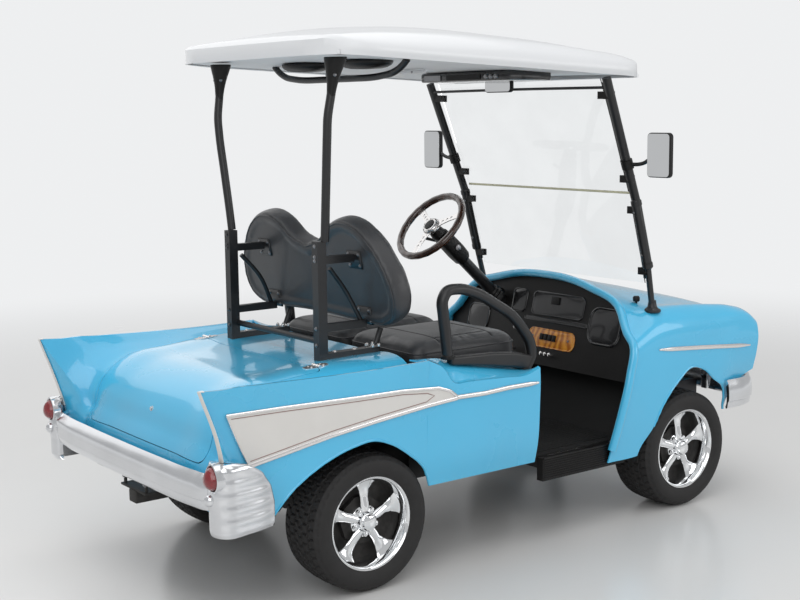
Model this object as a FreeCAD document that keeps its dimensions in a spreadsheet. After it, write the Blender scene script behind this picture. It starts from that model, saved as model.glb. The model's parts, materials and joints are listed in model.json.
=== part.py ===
import FreeCAD, Part
import math
import os
import re
import Sketcher

# Two-seat golf cart with a fibreglass tail-fin body, a roof on four struts and a folding windscreen.
# Millimetres. +Z is up, the front faces -Y and the driver's side, the left, is +X.
# The origin is on the ground under the middle of the cart.

V = FreeCAD.Vector

SIZES = {
    # wheels and their places
    "overall_length": 2960,
    "rear_overhang": 742,
    "wheelbase": 1676,
    "wheel_center_x": 495,
    "tyre_radius": 254,
    "tyre_half_width": 107,
    "tread_half_width": 84,
    "shoulder_drop": 22,
    "lug_height": 9,
    "lug_length": 34,
    "lug_width": 28,
    "rim_radius": 166,
    "rim_half_width": 91,
    "rim_wall": 9,
    "rim_disc_face": 58,
    "rim_disc_back": 34,
    "rim_boss_radius": 38,
    "rim_boss_rise": 16,
    "spoke_root_radius": 62,
    "drum_radius": 92,
    "drum_wall": 8,
    "drum_depth": 74,
    "hub_nose_radius": 42,
    "seat_gap": 0.3,
    "running_gap": 0.05,
    "moving_gap": 5,
    # axles and steering
    "spindle_radius": 15,
    "kingpin_x": 362,
    "kingpin_radius": 9,
    "kingpin_sleeve_radius": 20,
    "kingpin_sleeve_half": 38,
    "yoke_thickness": 10,
    "axle_beam_width": 44,
    "steering_arm": 115,
    "tie_rod_radius": 9,
    "rear_axle_tube_radius": 31,
    "differential_radius": 72,
    "motor_radius": 88,
    "motor_length": 240,
    "half_shaft": 112,
    "axle_beam_height": 32,
    "gear_case_length": 150,
    # chassis
    "rail_x": 212,
    "rail_width": 50,
    "rail_height": 50,
    "rail_kick_front": 450,
    "rail_kick_rear": 560,
    "outrigger_front": 500,
    "outrigger_rear": 150,
    "rail_top": 344,
    "rear_rail_top": 470,
    "chassis_front": 1190,
    "chassis_rear": 1451.6,
    "cross_width": 40,
    "spring_width": 44,
    "spring_leaf": 7,
    "spring_half_length": 285,
    # floor and sills
    "floor_sheet": 6,
    "floor_half_width": 540,
    "floor_front": 590,
    "floor_rear": 20,
    "toe_board_top": 590,
    "toe_board_run": 118,
    "mat_sheet": 3,
    "mat_inset": 40,
    "sill_x": 557,
    "sill_width": 34,
    "sill_height": 92,
    "sill_front": 578,
    "sill_rear": 112,
    # body shells
    "skin": 7,
    "body_half_width": 618,
    "body_bottom": 345,
    "tail_pivot_y": 1150,
    "tail_pivot_z": 300,
    "side_front": 55,
    "cabin_rear": 500,
    "lid_half_width": 455,
    "lid_front": 846,
    "lid_bottom": 548,
    "lid_hinge_y": 838,
    "lid_hinge_x": 405,
    "lid_hinge_pin": 4,
    "hinge_barrel": 9,
    "grille_half": 360,
    "grille_bottom": 585,
    "grille_height": 130,
    "lamp_x": 478,
    "lamp_z": 690,
    "lamp_radius": 74,
    "tub_half_width": 366,
    "tub_front": 506,
    "tub_rear": 1300,
    "tub_top": 596,
    "tub_sheet": 5,
    "tub_clearance": 4.4,
    "tub_corner": 22,
    "lid_hinge_z": 815,
    "bumper_front_low": 400,
    "bumper_front_top": 530,
    "bumper_rear_low": 355,
    "bumper_rear_top": 522,
    "bumper_iron": 10,
    "bumper_wing_inner": 648,
    "bumper_pod_inner": 612,
    "bumper_pod_outer": 700,
    "tail_lamp_x": 656,
    "tail_lamp_z": 551,
    "tail_lamp_radius": 37,
    "trim": 4,
    "dash_recess": 30,
    "dash_depth": 45,
    "dash_bottom": 590,
    "dash_fit": 2.2,
    # roof, struts and windscreen
    "roof_skin": 8,
    "roof_edge": 46,
    "strut_radius": 15,
    "glass_sheet": 6,
    "glass_half_width": 518,
    # seats
    "seat_base_half": 492,
    "seat_base_front": 48,
    "seat_base_rear": 492,
    "seat_base_top": 728,
    "seat_base_wall": 6,
    "cushion_half": 478,
    "cushion_front": 92,
    "cushion_rear": 452,
    "cushion_top": 858,
    "post_x": 318,
    "post_y": 760,
    "post_side": 38,
    "post_top": 1252,
    "deck_height": 812,
    "restraint_radius": 17,
    "restraint_x": 542,
    "restraint_heel": 6.4,
    # steering wheel and column
    "wheel_hub_x": 270,
    "wheel_hub_y": 222,
    "wheel_hub_z": 1212,
    "hand_wheel_radius": 168,
    "hand_wheel_grip": 14,
    "column_angle": 42,
    "column_radius": 26,
    "column_shaft": 11,
    "column_length": 606,
    "back_lean": 12,
    "back_foot_y": 520,
    "back_foot_z": 868,
    "back_pad": 62,
    "back_shell": 22,
    "battery_half": 380,
    "battery_front": 20,
    "battery_rear": 430,
    "battery_height": 280,
}

doc = FreeCAD.newDocument("GolfCart")
sheet = doc.addObject("Spreadsheet::Sheet", "Sizes")
for row, (name, value) in enumerate(SIZES.items(), 1):
    sheet.set("A%d" % row, name)
    sheet.set("B%d" % row, str(value))
    sheet.setAlias("B%d" % row, name)
doc.recompute()
NODES = []


def size(name):
    """One size from the sheet."""
    return float(sheet.get(name))


def link(text, prefix="Sizes."):
    """A formula with every size's name pointing at the sheet."""
    def swap(found):
        word = found.group()
        return prefix + word if word in SIZES else word
    return re.sub(r"[a-z_][a-z_0-9]*", swap, str(text)).replace("tan(Sizes.back_lean)", "tan(Sizes.back_lean * 1deg)")


def calc(text):
    """The value that a formula of sizes has now."""
    answer = sheet.evalExpression(link(text, ""))
    return float(getattr(answer, "Value", answer))


def bind(thing, **formulas):
    """Tie properties of an object to formulas of sizes."""
    for path, text in formulas.items():
        thing.setExpression(path.replace("__", "."), link(text))
    return thing


def node(label, thing):
    """Name one finished sub-part."""
    thing.Label = label
    NODES.append(thing)
    return thing


def shaped(name, shape, place=FreeCAD.Placement()):
    """A sub-part whose form is worked out in code from the sheet's sizes, then put in its place."""
    thing = doc.addObject("Part::Feature", name)
    thing.Shape = shape
    thing.Placement = place
    return thing


def box(name, x, y, z):
    """A block between pairs of formulas along X, Y and Z."""
    thing = doc.addObject("Part::Box", name)
    bind(thing, Length="(%s) - (%s)" % (x[1], x[0]))
    bind(thing, Width="(%s) - (%s)" % (y[1], y[0]))
    bind(thing, Height="(%s) - (%s)" % (z[1], z[0]))
    bind(thing, Placement__Base__x=x[0], Placement__Base__y=y[0], Placement__Base__z=z[0])
    return thing


TURNS = {
    "X": FreeCAD.Rotation(V(0, 1, 0), 90),
    "Y": FreeCAD.Rotation(V(1, 0, 0), -90),
    "Z": FreeCAD.Rotation(),
}


def rod(name, axis, radius, length, x, y, z):
    """A round bar that starts at x, y, z and runs along a positive axis."""
    thing = doc.addObject("Part::Cylinder", name)
    thing.Placement = FreeCAD.Placement(V(), TURNS[axis])
    bind(thing, Radius=radius, Height=length)
    bind(thing, Placement__Base__x=x, Placement__Base__y=y, Placement__Base__z=z)
    return thing


def prism(name, axis, sides, radius, length, x, y, z):
    """A bar with flat sides that starts at x, y, z and runs along a positive axis."""
    thing = doc.addObject("Part::Prism", name)
    thing.Polygon = sides
    thing.Placement = FreeCAD.Placement(V(), TURNS[axis])
    bind(thing, Circumradius=radius, Height=length)
    bind(thing, Placement__Base__x=x, Placement__Base__y=y, Placement__Base__z=z)
    return thing


def fuse(name, pieces):
    thing = doc.addObject("Part::MultiFuse", name)
    thing.Shapes = pieces
    return thing


def cut(name, base, tools):
    tool = tools[0] if len(tools) == 1 else fuse(name + "_tools", tools)
    thing = doc.addObject("Part::Cut", name)
    thing.Base = base
    thing.Tool = tool
    return thing


def mirrored(name, source):
    """The same piece on the other side of the cart."""
    thing = doc.addObject("Part::Mirroring", name)
    thing.Source = source
    thing.Normal = V(1, 0, 0)
    return thing


def together(name, pieces):
    """Like pieces that don't touch, kept as one sub-part."""
    thing = doc.addObject("Part::Compound", name)
    thing.Links = pieces
    return thing


def sketch(body, plane, outline):
    """A closed outline of straight edges whose corners are tied to formulas."""
    sk = body.newObject("Sketcher::SketchObject", body.Name + "_outline")
    base = [feature for feature in body.Origin.OriginFeatures if feature.Role == plane][0]
    sk.AttachmentSupport = [(base, "")]
    sk.MapMode = "FlatFace"
    corners = [(calc(a), calc(b)) for a, b in outline]
    for first, second in zip(corners, corners[1:] + corners[:1]):
        sk.addGeometry(Part.LineSegment(V(*first, 0), V(*second, 0)), False)
    for index in range(len(outline)):
        follower = (index + 1) % len(outline)
        sk.addConstraint(Sketcher.Constraint("Coincident", index, 2, follower, 1))
    for index, (across, up) in enumerate(outline):
        for kind, text, now in (("DistanceX", across, corners[index][0]), ("DistanceY", up, corners[index][1])):
            number = sk.addConstraint(Sketcher.Constraint(kind, index, 1, now))
            sk.setExpression("Constraints[%d]" % number, link(text))
    return sk


def padded(name, plane, outline, length, **place):
    """An outline pulled straight: YZ_Plane pulls along +X, XZ_Plane along -Y and XY_Plane along +Z."""
    body = doc.addObject("PartDesign::Body", name)
    pad = body.newObject("PartDesign::Pad", name + "_pad")
    pad.Profile = sketch(body, plane, outline)
    bind(pad, Length=length)
    for axis, text in place.items():
        bind(body, **{"Placement__Base__" + axis: text})
    body.Tip = pad
    return body


def turned(name, outline):
    """An outline of (along X, radius) turned about the X axis."""
    body = doc.addObject("PartDesign::Body", name)
    sk = sketch(body, "XY_Plane", outline)
    spin = body.newObject("PartDesign::Revolution", name + "_turned")
    spin.Profile = sk
    spin.ReferenceAxis = (sk, ["H_Axis"])
    spin.Angle = 360
    body.Tip = spin
    return body


def flat_rod(radius, length, start, sides=10):
    """A bar with flat sides along X from a starting point."""
    return bent_bar([start, start + V(length, 0, 0)], radius, sides)


def closed_solid(faces):
    """A solid from the flat faces that bound it."""
    solid = Part.Solid(Part.Shell(faces))
    if solid.Volume < 0:
        solid.reverse()
    return solid


def rounded(points, bend, steps=3):
    """Corner points with every inner corner replaced by a few points on an arc."""
    path = [points[0]]
    for before, corner, after in zip(points, points[1:], points[2:]):
        back = (before - corner).normalize()
        ahead = (after - corner).normalize()
        half = back.getAngle(ahead) / 2
        middle = corner + (back + ahead).normalize() * (bend / math.sin(half))
        first = corner + back * (bend / math.tan(half)) - middle
        axis = back.cross(ahead).normalize()
        sweep = math.degrees(math.pi - 2 * half)
        for step in range(steps + 1):
            path.append(middle + FreeCAD.Rotation(axis, -sweep * step / steps).multVec(first))
    return path + [points[-1]]


def bent_bar(points, radius, sides=8):
    """A bar with flat sides, mitred at every corner of its path."""
    ahead = (points[1] - points[0]).normalize()
    across = ahead.cross(V(0, 1, 0) if abs(ahead.y) < 0.9 else V(1, 0, 0)).normalize()
    up = ahead.cross(across)
    ring = []
    for step in range(sides):
        angle = 2 * math.pi * (step + 0.5) / sides
        ring.append(points[0] + across * (radius * math.cos(angle)) + up * (radius * math.sin(angle)))
    rings = [ring]
    for index in range(1, len(points)):
        run = (points[index] - points[index - 1]).normalize()
        last = index == len(points) - 1
        normal = run if last else (run + (points[index + 1] - points[index]).normalize()).normalize()
        rings.append([corner + run * ((points[index] - corner).dot(normal) / run.dot(normal)) for corner in rings[-1]])
    faces = [Part.Face(Part.makePolygon(end + end[:1])) for end in (rings[0], rings[-1])]
    for first, second in zip(rings, rings[1:]):
        for step in range(sides):
            after = (step + 1) % sides
            faces.append(Part.Face(Part.makePolygon([first[step], first[after], second[after], second[step], first[step]])))
    return closed_solid(faces)


def skin_loft(rings):
    """A solid between closed rings of as many points each, its sides made of flat triangles."""
    faces = [Part.Face(Part.makePolygon(end + end[:1])) for end in (rings[0], rings[-1])]
    for first, second in zip(rings, rings[1:]):
        for step in range(len(first)):
            after = (step + 1) % len(first)
            quad = [first[step], first[after], second[after], second[step]]
            if (quad[0] - quad[2]).Length > (quad[1] - quad[3]).Length:
                quad = quad[1:] + quad[:1]
            for loop in (quad[:3], quad[2:] + quad[:1]):
                faces.append(Part.Face(Part.makePolygon(loop + loop[:1])))
    return closed_solid(faces)


def surface_at(shape, x, y, top=True):
    """Height of a shape's highest or lowest surface on an upright line."""
    line = Part.makeLine(V(x, y, -100), V(x, y, 3000))
    heights = [vertex.Z for vertex in shape.common(line).Vertexes]
    return max(heights) if top else min(heights)


def both_sides(shape):
    """A shape and its mirror image about the cart's middle plane."""
    return Part.makeCompound([shape, shape.mirror(V(), V(1, 0, 0))])


def flat_sided_ring(profile, flats):
    """A turned form about the X axis made of flat facets, light enough for a part that repeats."""
    corners = []
    for along, radius in profile:
        ring = []
        for step in range(flats):
            angle = 2 * math.pi * (step + 0.5) / flats
            ring.append(V(along, radius * math.sin(angle), radius * math.cos(angle)))
        corners.append(ring)
    faces = []
    for first, second in zip(corners, corners[1:] + corners[:1]):
        for step in range(flats):
            after = (step + 1) % flats
            loop = [first[step], first[after], second[after], second[step], first[step]]
            faces.append(Part.Face(Part.makePolygon(loop)))
    return closed_solid(faces)


AXLES = {
    "front": "(overall_length / 2 - rear_overhang - wheelbase)",
    "rear": "(overall_length / 2 - rear_overhang)",
}
CORNERS = [("front", "left", 1), ("front", "right", -1), ("rear", "left", 1), ("rear", "right", -1)]


def at_wheel(thing, end, side):
    """Put a piece made about the X axis at one wheel, its outer side away from the cart."""
    thing.Placement = FreeCAD.Placement(V(), FreeCAD.Rotation(V(0, 0, 1), 0 if side > 0 else 180))
    bind(thing, Placement__Base__x="%d * wheel_center_x" % side)
    bind(thing, Placement__Base__y=AXLES[end], Placement__Base__z="tyre_radius")
    return thing


# Alloy wheels: a barrel, a dished disc with five windows and a raised centre
RIM_FLATS = 15
WINDOWS = 5


def rim_shape():
    """One wheel about the X axis."""
    wide = size("rim_half_width")
    radius = size("rim_radius")
    wall = size("rim_wall")
    face = size("rim_disc_face")
    back = size("rim_disc_back")
    boss = size("rim_boss_radius")
    rise = size("rim_boss_rise")
    root = size("spoke_root_radius")
    outline = [
        (back, 8), (back, radius - wall), (-wide, radius - wall), (-wide, radius), (wide, radius),
        (wide, radius - wall), (face, radius - 3 * wall), (face, boss), (face + rise, 0.7 * boss), (face + rise, 8),
    ]
    core = Part.makeBox(face + rise - back, 17, 17, V(back, -8.5, -8.5))
    ring = flat_sided_ring(outline, RIM_FLATS).fuse(core)
    tip = radius - 4 * wall
    window = [V(0, -0.34 * root, root), V(0, 0.34 * root, root), V(0, 0.38 * tip, 0.92 * tip), V(0, 0, tip),
              V(0, -0.38 * tip, 0.92 * tip)]
    opening = Part.Face(Part.makePolygon(window + window[:1])).extrude(V(wide, 0, 0))
    openings = []
    for step in range(WINDOWS):
        hole = opening.copy()
        hole.rotate(V(), V(1, 0, 0), 360 * step / WINDOWS)
        openings.append(hole)
    return ring.cut(openings).removeSplitter()


# Brake drums: the front ones turn on the knuckle's spindle, the rear ones carry the half shafts
DRUM_FLATS = 10


def hub_face():
    """Where the drum meets the back of the wheel's disc, along X from the wheel's middle."""
    return "(rim_disc_back - seat_gap)"


def drum_shape(end):
    face = calc(hub_face())
    back = face - size("drum_depth")
    shaft = size("spindle_radius")
    drum = flat_sided_ring([(face, shaft / 2), (face, size("drum_radius")), (back, size("drum_radius")),
                            (back, shaft / 2)], DRUM_FLATS)
    drum = drum.fuse(Part.makeBox(face - back, shaft + 1, shaft + 1, V(back, -shaft / 2 - 0.5, -shaft / 2 - 0.5)))
    drum = drum.removeSplitter()
    if end == "front":
        depth = size("drum_depth") - size("drum_wall")
        return drum.cut(Part.makeCylinder(shaft + size("running_gap"), depth, V(back, 0, 0), V(1, 0, 0)))
    return drum.fuse(Part.makeCylinder(shaft, size("half_shaft") + 5, V(back - size("half_shaft"), 0, 0), V(1, 0, 0)))


TYRE_FLATS = 20


def tyre_shape():
    """One tyre about the X axis: a carcass with two staggered rows of shoulder lugs."""
    bead = (size("rim_radius") + size("seat_gap")) / math.cos(math.pi / TYRE_FLATS)
    wide = size("tyre_half_width")
    tread = size("tread_half_width")
    top = size("tyre_radius") - size("lug_height")
    drop = size("shoulder_drop")
    lug = size("lug_width")
    half = [(wide - 20, bead), (wide, bead + 42), (wide - 4, top - drop), (tread, top)]
    profile = half + [(-along, radius) for along, radius in reversed(half)]
    carcass = flat_sided_ring(profile, TYRE_FLATS)
    outline = [
        V(tread - size("lug_length"), -lug / 2, top - 4),
        V(tread - size("lug_length"), -lug / 2, top + size("lug_height")),
        V(tread + 4, -lug / 2, top + size("lug_height")),
        V(wide + 3, -lug / 2, top - drop),
        V(wide - 6, -lug / 2, top - drop - 8),
    ]
    block = Part.Face(Part.makePolygon(outline + outline[:1])).extrude(V(0, lug, 0))
    lugs = []
    for step in range(TYRE_FLATS):
        turned_lug = block.copy() if step % 2 else block.mirror(V(), V(1, 0, 0))
        turned_lug.rotate(V(), V(1, 0, 0), 360 * step / TYRE_FLATS)
        lugs.append(turned_lug)
    return carcass.fuse(lugs).removeSplitter()


tyre_form = tyre_shape()
rim_form = rim_shape()
drum_forms = {end: drum_shape(end) for end in AXLES}
for end, word, side in CORNERS:
    corner = "_%s_%s" % (end, word)
    node("wheel_rim" + corner, at_wheel(shaped("Rim" + corner, rim_form), end, side))
    node("brake_drum" + corner, at_wheel(shaped("Drum" + corner, drum_forms[end]), end, side))
    node("tyre" + corner, at_wheel(shaped("Tyre" + corner, tyre_form), end, side))

# Front axle: a beam with a yoke at each end, a knuckle on each kingpin and a rack bar joining their arms
FRONT_Y = AXLES["front"]
REAR_Y = AXLES["rear"]
PIN_HOLE = "kingpin_radius + running_gap"
YOKE_OUT = "kingpin_sleeve_half + seat_gap + yoke_thickness"


def yoke(side):
    """One end of the front beam: a web and two plates with the kingpin's holes."""
    x0 = "kingpin_x - kingpin_sleeve_radius - 28"
    web = box("YokeWeb", (x0, "kingpin_x - kingpin_sleeve_radius - 14"), (FRONT_Y + " - 14", FRONT_Y + " + 14"),
              ("tyre_radius - " + YOKE_OUT.replace("+", "-"), "tyre_radius + " + YOKE_OUT))
    plates = []
    for name, low, high in (
        ("YokeTop", "tyre_radius + kingpin_sleeve_half + seat_gap", "tyre_radius + " + YOKE_OUT),
        ("YokeFoot", "tyre_radius - " + YOKE_OUT.replace("+", "-"), "tyre_radius - kingpin_sleeve_half - seat_gap"),
    ):
        plates.append(box(name, (x0, "kingpin_x + 20"), (FRONT_Y + " - 22", FRONT_Y + " + 22"), (low, high)))
    solid = fuse("Yoke", [web] + plates)
    hole = rod("YokeHole", "Z", PIN_HOLE, "4 * kingpin_sleeve_half", "kingpin_x", FRONT_Y,
               "tyre_radius - 2 * kingpin_sleeve_half")
    return cut("YokeBored", solid, [hole])


left_yoke = yoke(1)
beam_end = "kingpin_x - kingpin_sleeve_radius - 20"
beam = box("FrontBeam", ("0 - (%s)" % beam_end, beam_end),
           (FRONT_Y + " - axle_beam_width / 2", FRONT_Y + " + axle_beam_width / 2"),
           ("tyre_radius - axle_beam_height / 2", "tyre_radius + axle_beam_height / 2"))
node("front_axle", fuse("FrontAxle", [beam, left_yoke, mirrored("YokeRight", left_yoke)]))


def knuckle():
    """Kingpin, sleeve, spindle and steering arm in one piece, for the left wheel."""
    low = "tyre_radius - kingpin_sleeve_half"
    pin = rod("Kingpin", "Z", "kingpin_radius", "2 * (%s) + 12" % YOKE_OUT, "kingpin_x", FRONT_Y,
              "tyre_radius - (%s) - 6" % YOKE_OUT)
    sleeve = box("KingpinSleeve", ("kingpin_x - 19", "kingpin_x + 19"), (FRONT_Y + " - 19", FRONT_Y + " + 19"),
                 (low, low + " + 2 * kingpin_sleeve_half"))
    root = box("SpindleRoot", ("kingpin_x", "wheel_center_x + %s - drum_depth - seat_gap" % hub_face()),
               (FRONT_Y + " - 19", FRONT_Y + " + 19"), ("tyre_radius - 22", "tyre_radius + 22"))
    spindle = rod("Spindle", "X", "spindle_radius",
                  "wheel_center_x + %s - drum_wall - 1 - kingpin_x" % hub_face(),
                  "kingpin_x", FRONT_Y, "tyre_radius")
    arm = box("SteeringArm", ("kingpin_x - 11", "kingpin_x + 11"), (FRONT_Y, FRONT_Y + " + steering_arm"),
              (low, low + " + 22"))
    eye = box("ArmEye", ("kingpin_x - 15", "kingpin_x + 15"),
              (FRONT_Y + " + steering_arm - 15", FRONT_Y + " + steering_arm + 15"), (low, low + " + 22"))
    return fuse("Knuckle", [pin, sleeve, root, spindle, arm, eye])


left_knuckle = node("knuckle_left", knuckle())
node("knuckle_right", mirrored("KnuckleRight", left_knuckle))

RACK_Y = FRONT_Y + " + steering_arm"
RACK_Z = "tyre_radius - kingpin_sleeve_half - seat_gap - 9"
bar = rod("RackBar", "X", "tie_rod_radius", "2 * kingpin_x", "0 - kingpin_x", RACK_Y, RACK_Z)
ends = [box("RackEye" + word, ("%d * kingpin_x - 15" % side, "%d * kingpin_x + 15" % side),
            (RACK_Y + " - 15", RACK_Y + " + 15"), (RACK_Z + " - 9", RACK_Z + " + 9"))
        for word, side in (("Left", 1), ("Right", -1))]
node("tie_rod", fuse("TieRod", [bar] + ends))

gear_case = box("GearCase", ("60", "60 + gear_case_length"), (RACK_Y + " - 22", RACK_Y + " + 22"),
                (RACK_Z + " - 22", RACK_Z + " + 22"))
gear_foot = box("GearFoot", ("90", "gear_case_length + 30"), (RACK_Y + " - 17", RACK_Y + " + 17"),
                (RACK_Z, "rail_top - rail_height - seat_gap"))
gear_bore = rod("GearBore", "X", "tie_rod_radius + running_gap", "gear_case_length + 20", "50", RACK_Y, RACK_Z)
node("steering_gear", cut("SteeringGear", fuse("GearHousing", [gear_case, gear_foot]), [gear_bore]))

# Chassis: two rails that rise over the rear axle, with bumper irons and spring hangers welded to them
RAIL = [
    ("0 - chassis_front", "rail_top - rail_height"),
    ("0 - chassis_front", "rail_top"),
    ("rail_kick_front", "rail_top"),
    ("rail_kick_rear", "rear_rail_top"),
    ("chassis_rear", "rear_rail_top"),
    ("chassis_rear", "rear_rail_top - rail_height"),
    ("rail_kick_rear + rail_height / 3", "rear_rail_top - rail_height"),
    ("rail_kick_front + rail_height / 3", "rail_top - rail_height"),
]
rails = [padded("Rail" + word, "YZ_Plane", RAIL, "rail_width", x="%d * rail_x - rail_width / 2" % side)
         for word, side in (("Left", 1), ("Right", -1))]


RAIL_INNER = "(rail_x - rail_width / 2 - seat_gap)"
RAIL_OUTER = "(rail_x + rail_width / 2 + seat_gap)"
SILL_INNER = "(sill_x - sill_width / 2 - seat_gap)"


def cross_member(name, y, top, outriggers=False):
    """A beam between the rails, with stubs out to the sills where the floor needs them."""
    along = (y + " - cross_width / 2", y + " + cross_width / 2")
    up = (top + " - rail_height", top)
    beams = [box(name, ("0 - " + RAIL_INNER, RAIL_INNER), along, up)]
    if outriggers:
        beams.append(box(name + "StubLeft", (RAIL_OUTER, SILL_INNER), along, up))
        beams.append(box(name + "StubRight", ("0 - " + SILL_INNER, "0 - " + RAIL_OUTER), along, up))
    return beams


frame_pieces = list(rails)
for word, side in (("Left", 1), ("Right", -1)):
    across = ("%d * rail_x - bumper_iron / 2" % side, "%d * rail_x + bumper_iron / 2" % side)
    frame_pieces.append(box("BumperIron" + word, across, ("0 - chassis_front - 253", "0 - chassis_front - seat_gap"),
                            ("rail_top - rail_height", "bumper_front_low + 40")))
for word, side in (("Left", 1), ("Right", -1)):
    across = ("%d * rail_x - spring_width / 2" % side, "%d * rail_x + spring_width / 2" % side)
    frame_pieces.append(box("Hanger" + word, across,
                            (REAR_Y + " + spring_half_length - 16", REAR_Y + " + spring_half_length + 16"),
                            ("rail_top - rail_height + seat_gap", "rear_rail_top - rail_height - seat_gap")))
node("chassis_frame", together("ChassisFrame", frame_pieces))

beams = cross_member("CrossNose", "(cross_width / 2 - chassis_front)", "rail_top")
beams += cross_member("CrossRack", "(%s)" % RACK_Y, "rail_top")
beams += cross_member("CrossToe", "(0 - outrigger_front)", "rail_top", True)
beams += cross_member("CrossSeat", "(0 - outrigger_rear)", "rail_top", True)
beams += cross_member("CrossBattery", "(rail_kick_front - cross_width)", "rail_top")
beams += cross_member("CrossBody", "(rail_kick_rear + cross_width)", "rear_rail_top")
beams += cross_member("CrossTail", "(tub_rear - cross_width / 2)", "rear_rail_top")
node("cross_members", together("CrossMembers", beams))


def leaf_spring(name, y, seat, side):
    """A leaf pack on an axle: a short lower leaf and a long upper leaf that rises to the rail at both ends."""
    ends = "rail_top - rail_height - seat_gap"
    far = "spring_half_length"
    outline = [
        ("0 - " + far, ends + " - spring_leaf"), ("0 - " + far, ends),
        ("0 - 60", seat + " + 2 * spring_leaf"), ("60", seat + " + 2 * spring_leaf"),
        (far, ends), (far, ends + " - spring_leaf"),
        ("150", seat + " + 1.4 * spring_leaf"), ("150", seat + " + 0.5 * spring_leaf"), ("90", seat),
        ("0 - 90", seat), ("0 - 150", seat + " + 0.5 * spring_leaf"), ("0 - 150", seat + " + 1.4 * spring_leaf"),
    ]
    return padded(name, "YZ_Plane", outline, "spring_width", x="%d * rail_x - spring_width / 2" % side, y=y)


front_seat = "(tyre_radius + axle_beam_height / 2 + seat_gap)"
rear_seat = "(tyre_radius + rear_axle_tube_radius + seat_gap)"
node("front_springs", together("FrontSprings", [leaf_spring("SpringFrontLeft", FRONT_Y, front_seat, 1),
                                                leaf_spring("SpringFrontRight", FRONT_Y, front_seat, -1)]))
node("rear_springs", together("RearSprings", [leaf_spring("SpringRearLeft", REAR_Y, rear_seat, 1),
                                              leaf_spring("SpringRearRight", REAR_Y, rear_seat, -1)]))

# Rear axle: a tube with the differential and the drive motor as plain cylinders
tube_end = "wheel_center_x + %s - drum_depth - seat_gap" % hub_face()
tube_body = prism("AxleTube", "X", 12, "rear_axle_tube_radius", "2 * (%s)" % tube_end, "0 - (%s)" % tube_end, REAR_Y, "tyre_radius")
differential = prism("Differential", "X", 12, "differential_radius", "1.6 * differential_radius",
                     "0 - 0.8 * differential_radius", REAR_Y, "tyre_radius")
motor = prism("DriveMotor", "Y", 12, "motor_radius", "motor_length", "0", REAR_Y + " + differential_radius * 0.7",
              "tyre_radius")
bores = [rod("ShaftBore" + word, "X", "spindle_radius + running_gap", "half_shaft + 4",
             start, REAR_Y, "tyre_radius")
         for word, start in (("Left", "%s - half_shaft - 2" % tube_end), ("Right", "0 - (%s) - 2" % tube_end))]
node("rear_axle", cut("RearAxle", fuse("RearAxleSolid", [tube_body, differential, motor]), bores))

# Floor with its toe board, sills, seat base and battery
FLOOR = [
    ("0 - floor_rear", "rail_top + seat_gap"),
    ("0 - floor_front", "rail_top + seat_gap"),
    ("0 - floor_front - toe_board_run", "toe_board_top"),
    ("floor_sheet - floor_front - toe_board_run", "toe_board_top"),
    ("floor_sheet * 0.7 - floor_front", "rail_top + seat_gap + floor_sheet"),
    ("0 - floor_rear", "rail_top + seat_gap + floor_sheet"),
]
floor_plate = padded("FloorPlate", "YZ_Plane", FLOOR, "2 * floor_half_width", x="0 - floor_half_width")
mat = box("PassengerMat", ("mat_inset - floor_half_width", "0 - mat_inset"),
          ("mat_inset - floor_front", "0 - seat_base_front - mat_inset"),
          ("rail_top + seat_gap", "rail_top + seat_gap + floor_sheet + mat_sheet"))
node("floor_pan", fuse("FloorPan", [floor_plate, mat]))

sills = [box("Sill" + word, ("%d * sill_x - sill_width / 2" % side, "%d * sill_x + sill_width / 2" % side),
             ("0 - sill_front", "0 - sill_rear"), ("rail_top - sill_height", "rail_top"))
         for word, side in (("Left", 1), ("Right", -1))]
node("sills", together("Sills", sills))

FLOOR_TOP = "rail_top + 2 * seat_gap + floor_sheet"
seat_shell = box("SeatBaseOuter", ("0 - seat_base_half", "seat_base_half"), ("0 - seat_base_front", "seat_base_rear"),
                 (FLOOR_TOP, "seat_base_top"))
seat_hollow = box("SeatBaseHollow", ("seat_base_wall - seat_base_half", "seat_base_half - seat_base_wall"),
                  ("seat_base_wall - seat_base_front", "seat_base_rear - seat_base_wall"),
                  (FLOOR_TOP + " - 10", "seat_base_top - seat_base_wall"))
rail_notch = box("RailNotch", ("0 - rail_x - rail_width / 2 - 8", "rail_x + rail_width / 2 + 8"),
                 ("seat_base_rear - 20", "seat_base_rear + 20"), (FLOOR_TOP + " - 10", "rear_rail_top - 40"))
node("seat_base", cut("SeatBase", seat_shell, [seat_hollow, rail_notch]))
node("battery_pack", box("BatteryPack", ("0 - battery_half", "battery_half"), ("battery_front", "battery_rear"),
                         ("rail_top + seat_gap", "rail_top + seat_gap + battery_height")))

# Body shells
# Each station is a half profile of (across, along the station's plane), from the lower edge of the side
# up to the middle of the cart. The plane may lean: its foot is at (y, z) and its direction is an angle
# from +Y, 90 being upright. A ring of the profile and its inner offset is lofted from station to station.


def offset_profile(points, wall):
    """The same profile moved inwards by the wall, in the plane of the section."""
    moved = []
    for index, (across, up) in enumerate(points):
        before = points[max(index - 1, 0)]
        after = points[min(index + 1, len(points) - 1)]
        if index == len(points) - 1:
            after = (-before[0], before[1])
        run = (after[0] - before[0], after[1] - before[1])
        reach = math.hypot(*run)
        moved.append((across - wall * run[1] / reach, up + wall * run[0] / reach))
    moved[0] = (points[0][0] - wall, points[0][1])
    moved[-1] = (0, points[-1][1] - wall)
    return moved


def whole_width(half):
    """A half profile and its mirror image as one run from right to left."""
    return [(-across, up) for across, up in half] + list(reversed(half[:-1]))


def in_space(points, foot, angle):
    lean = math.radians(angle)
    return [V(across, foot[0] + up * math.cos(lean), foot[1] + up * math.sin(lean)) for across, up in points]


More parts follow.
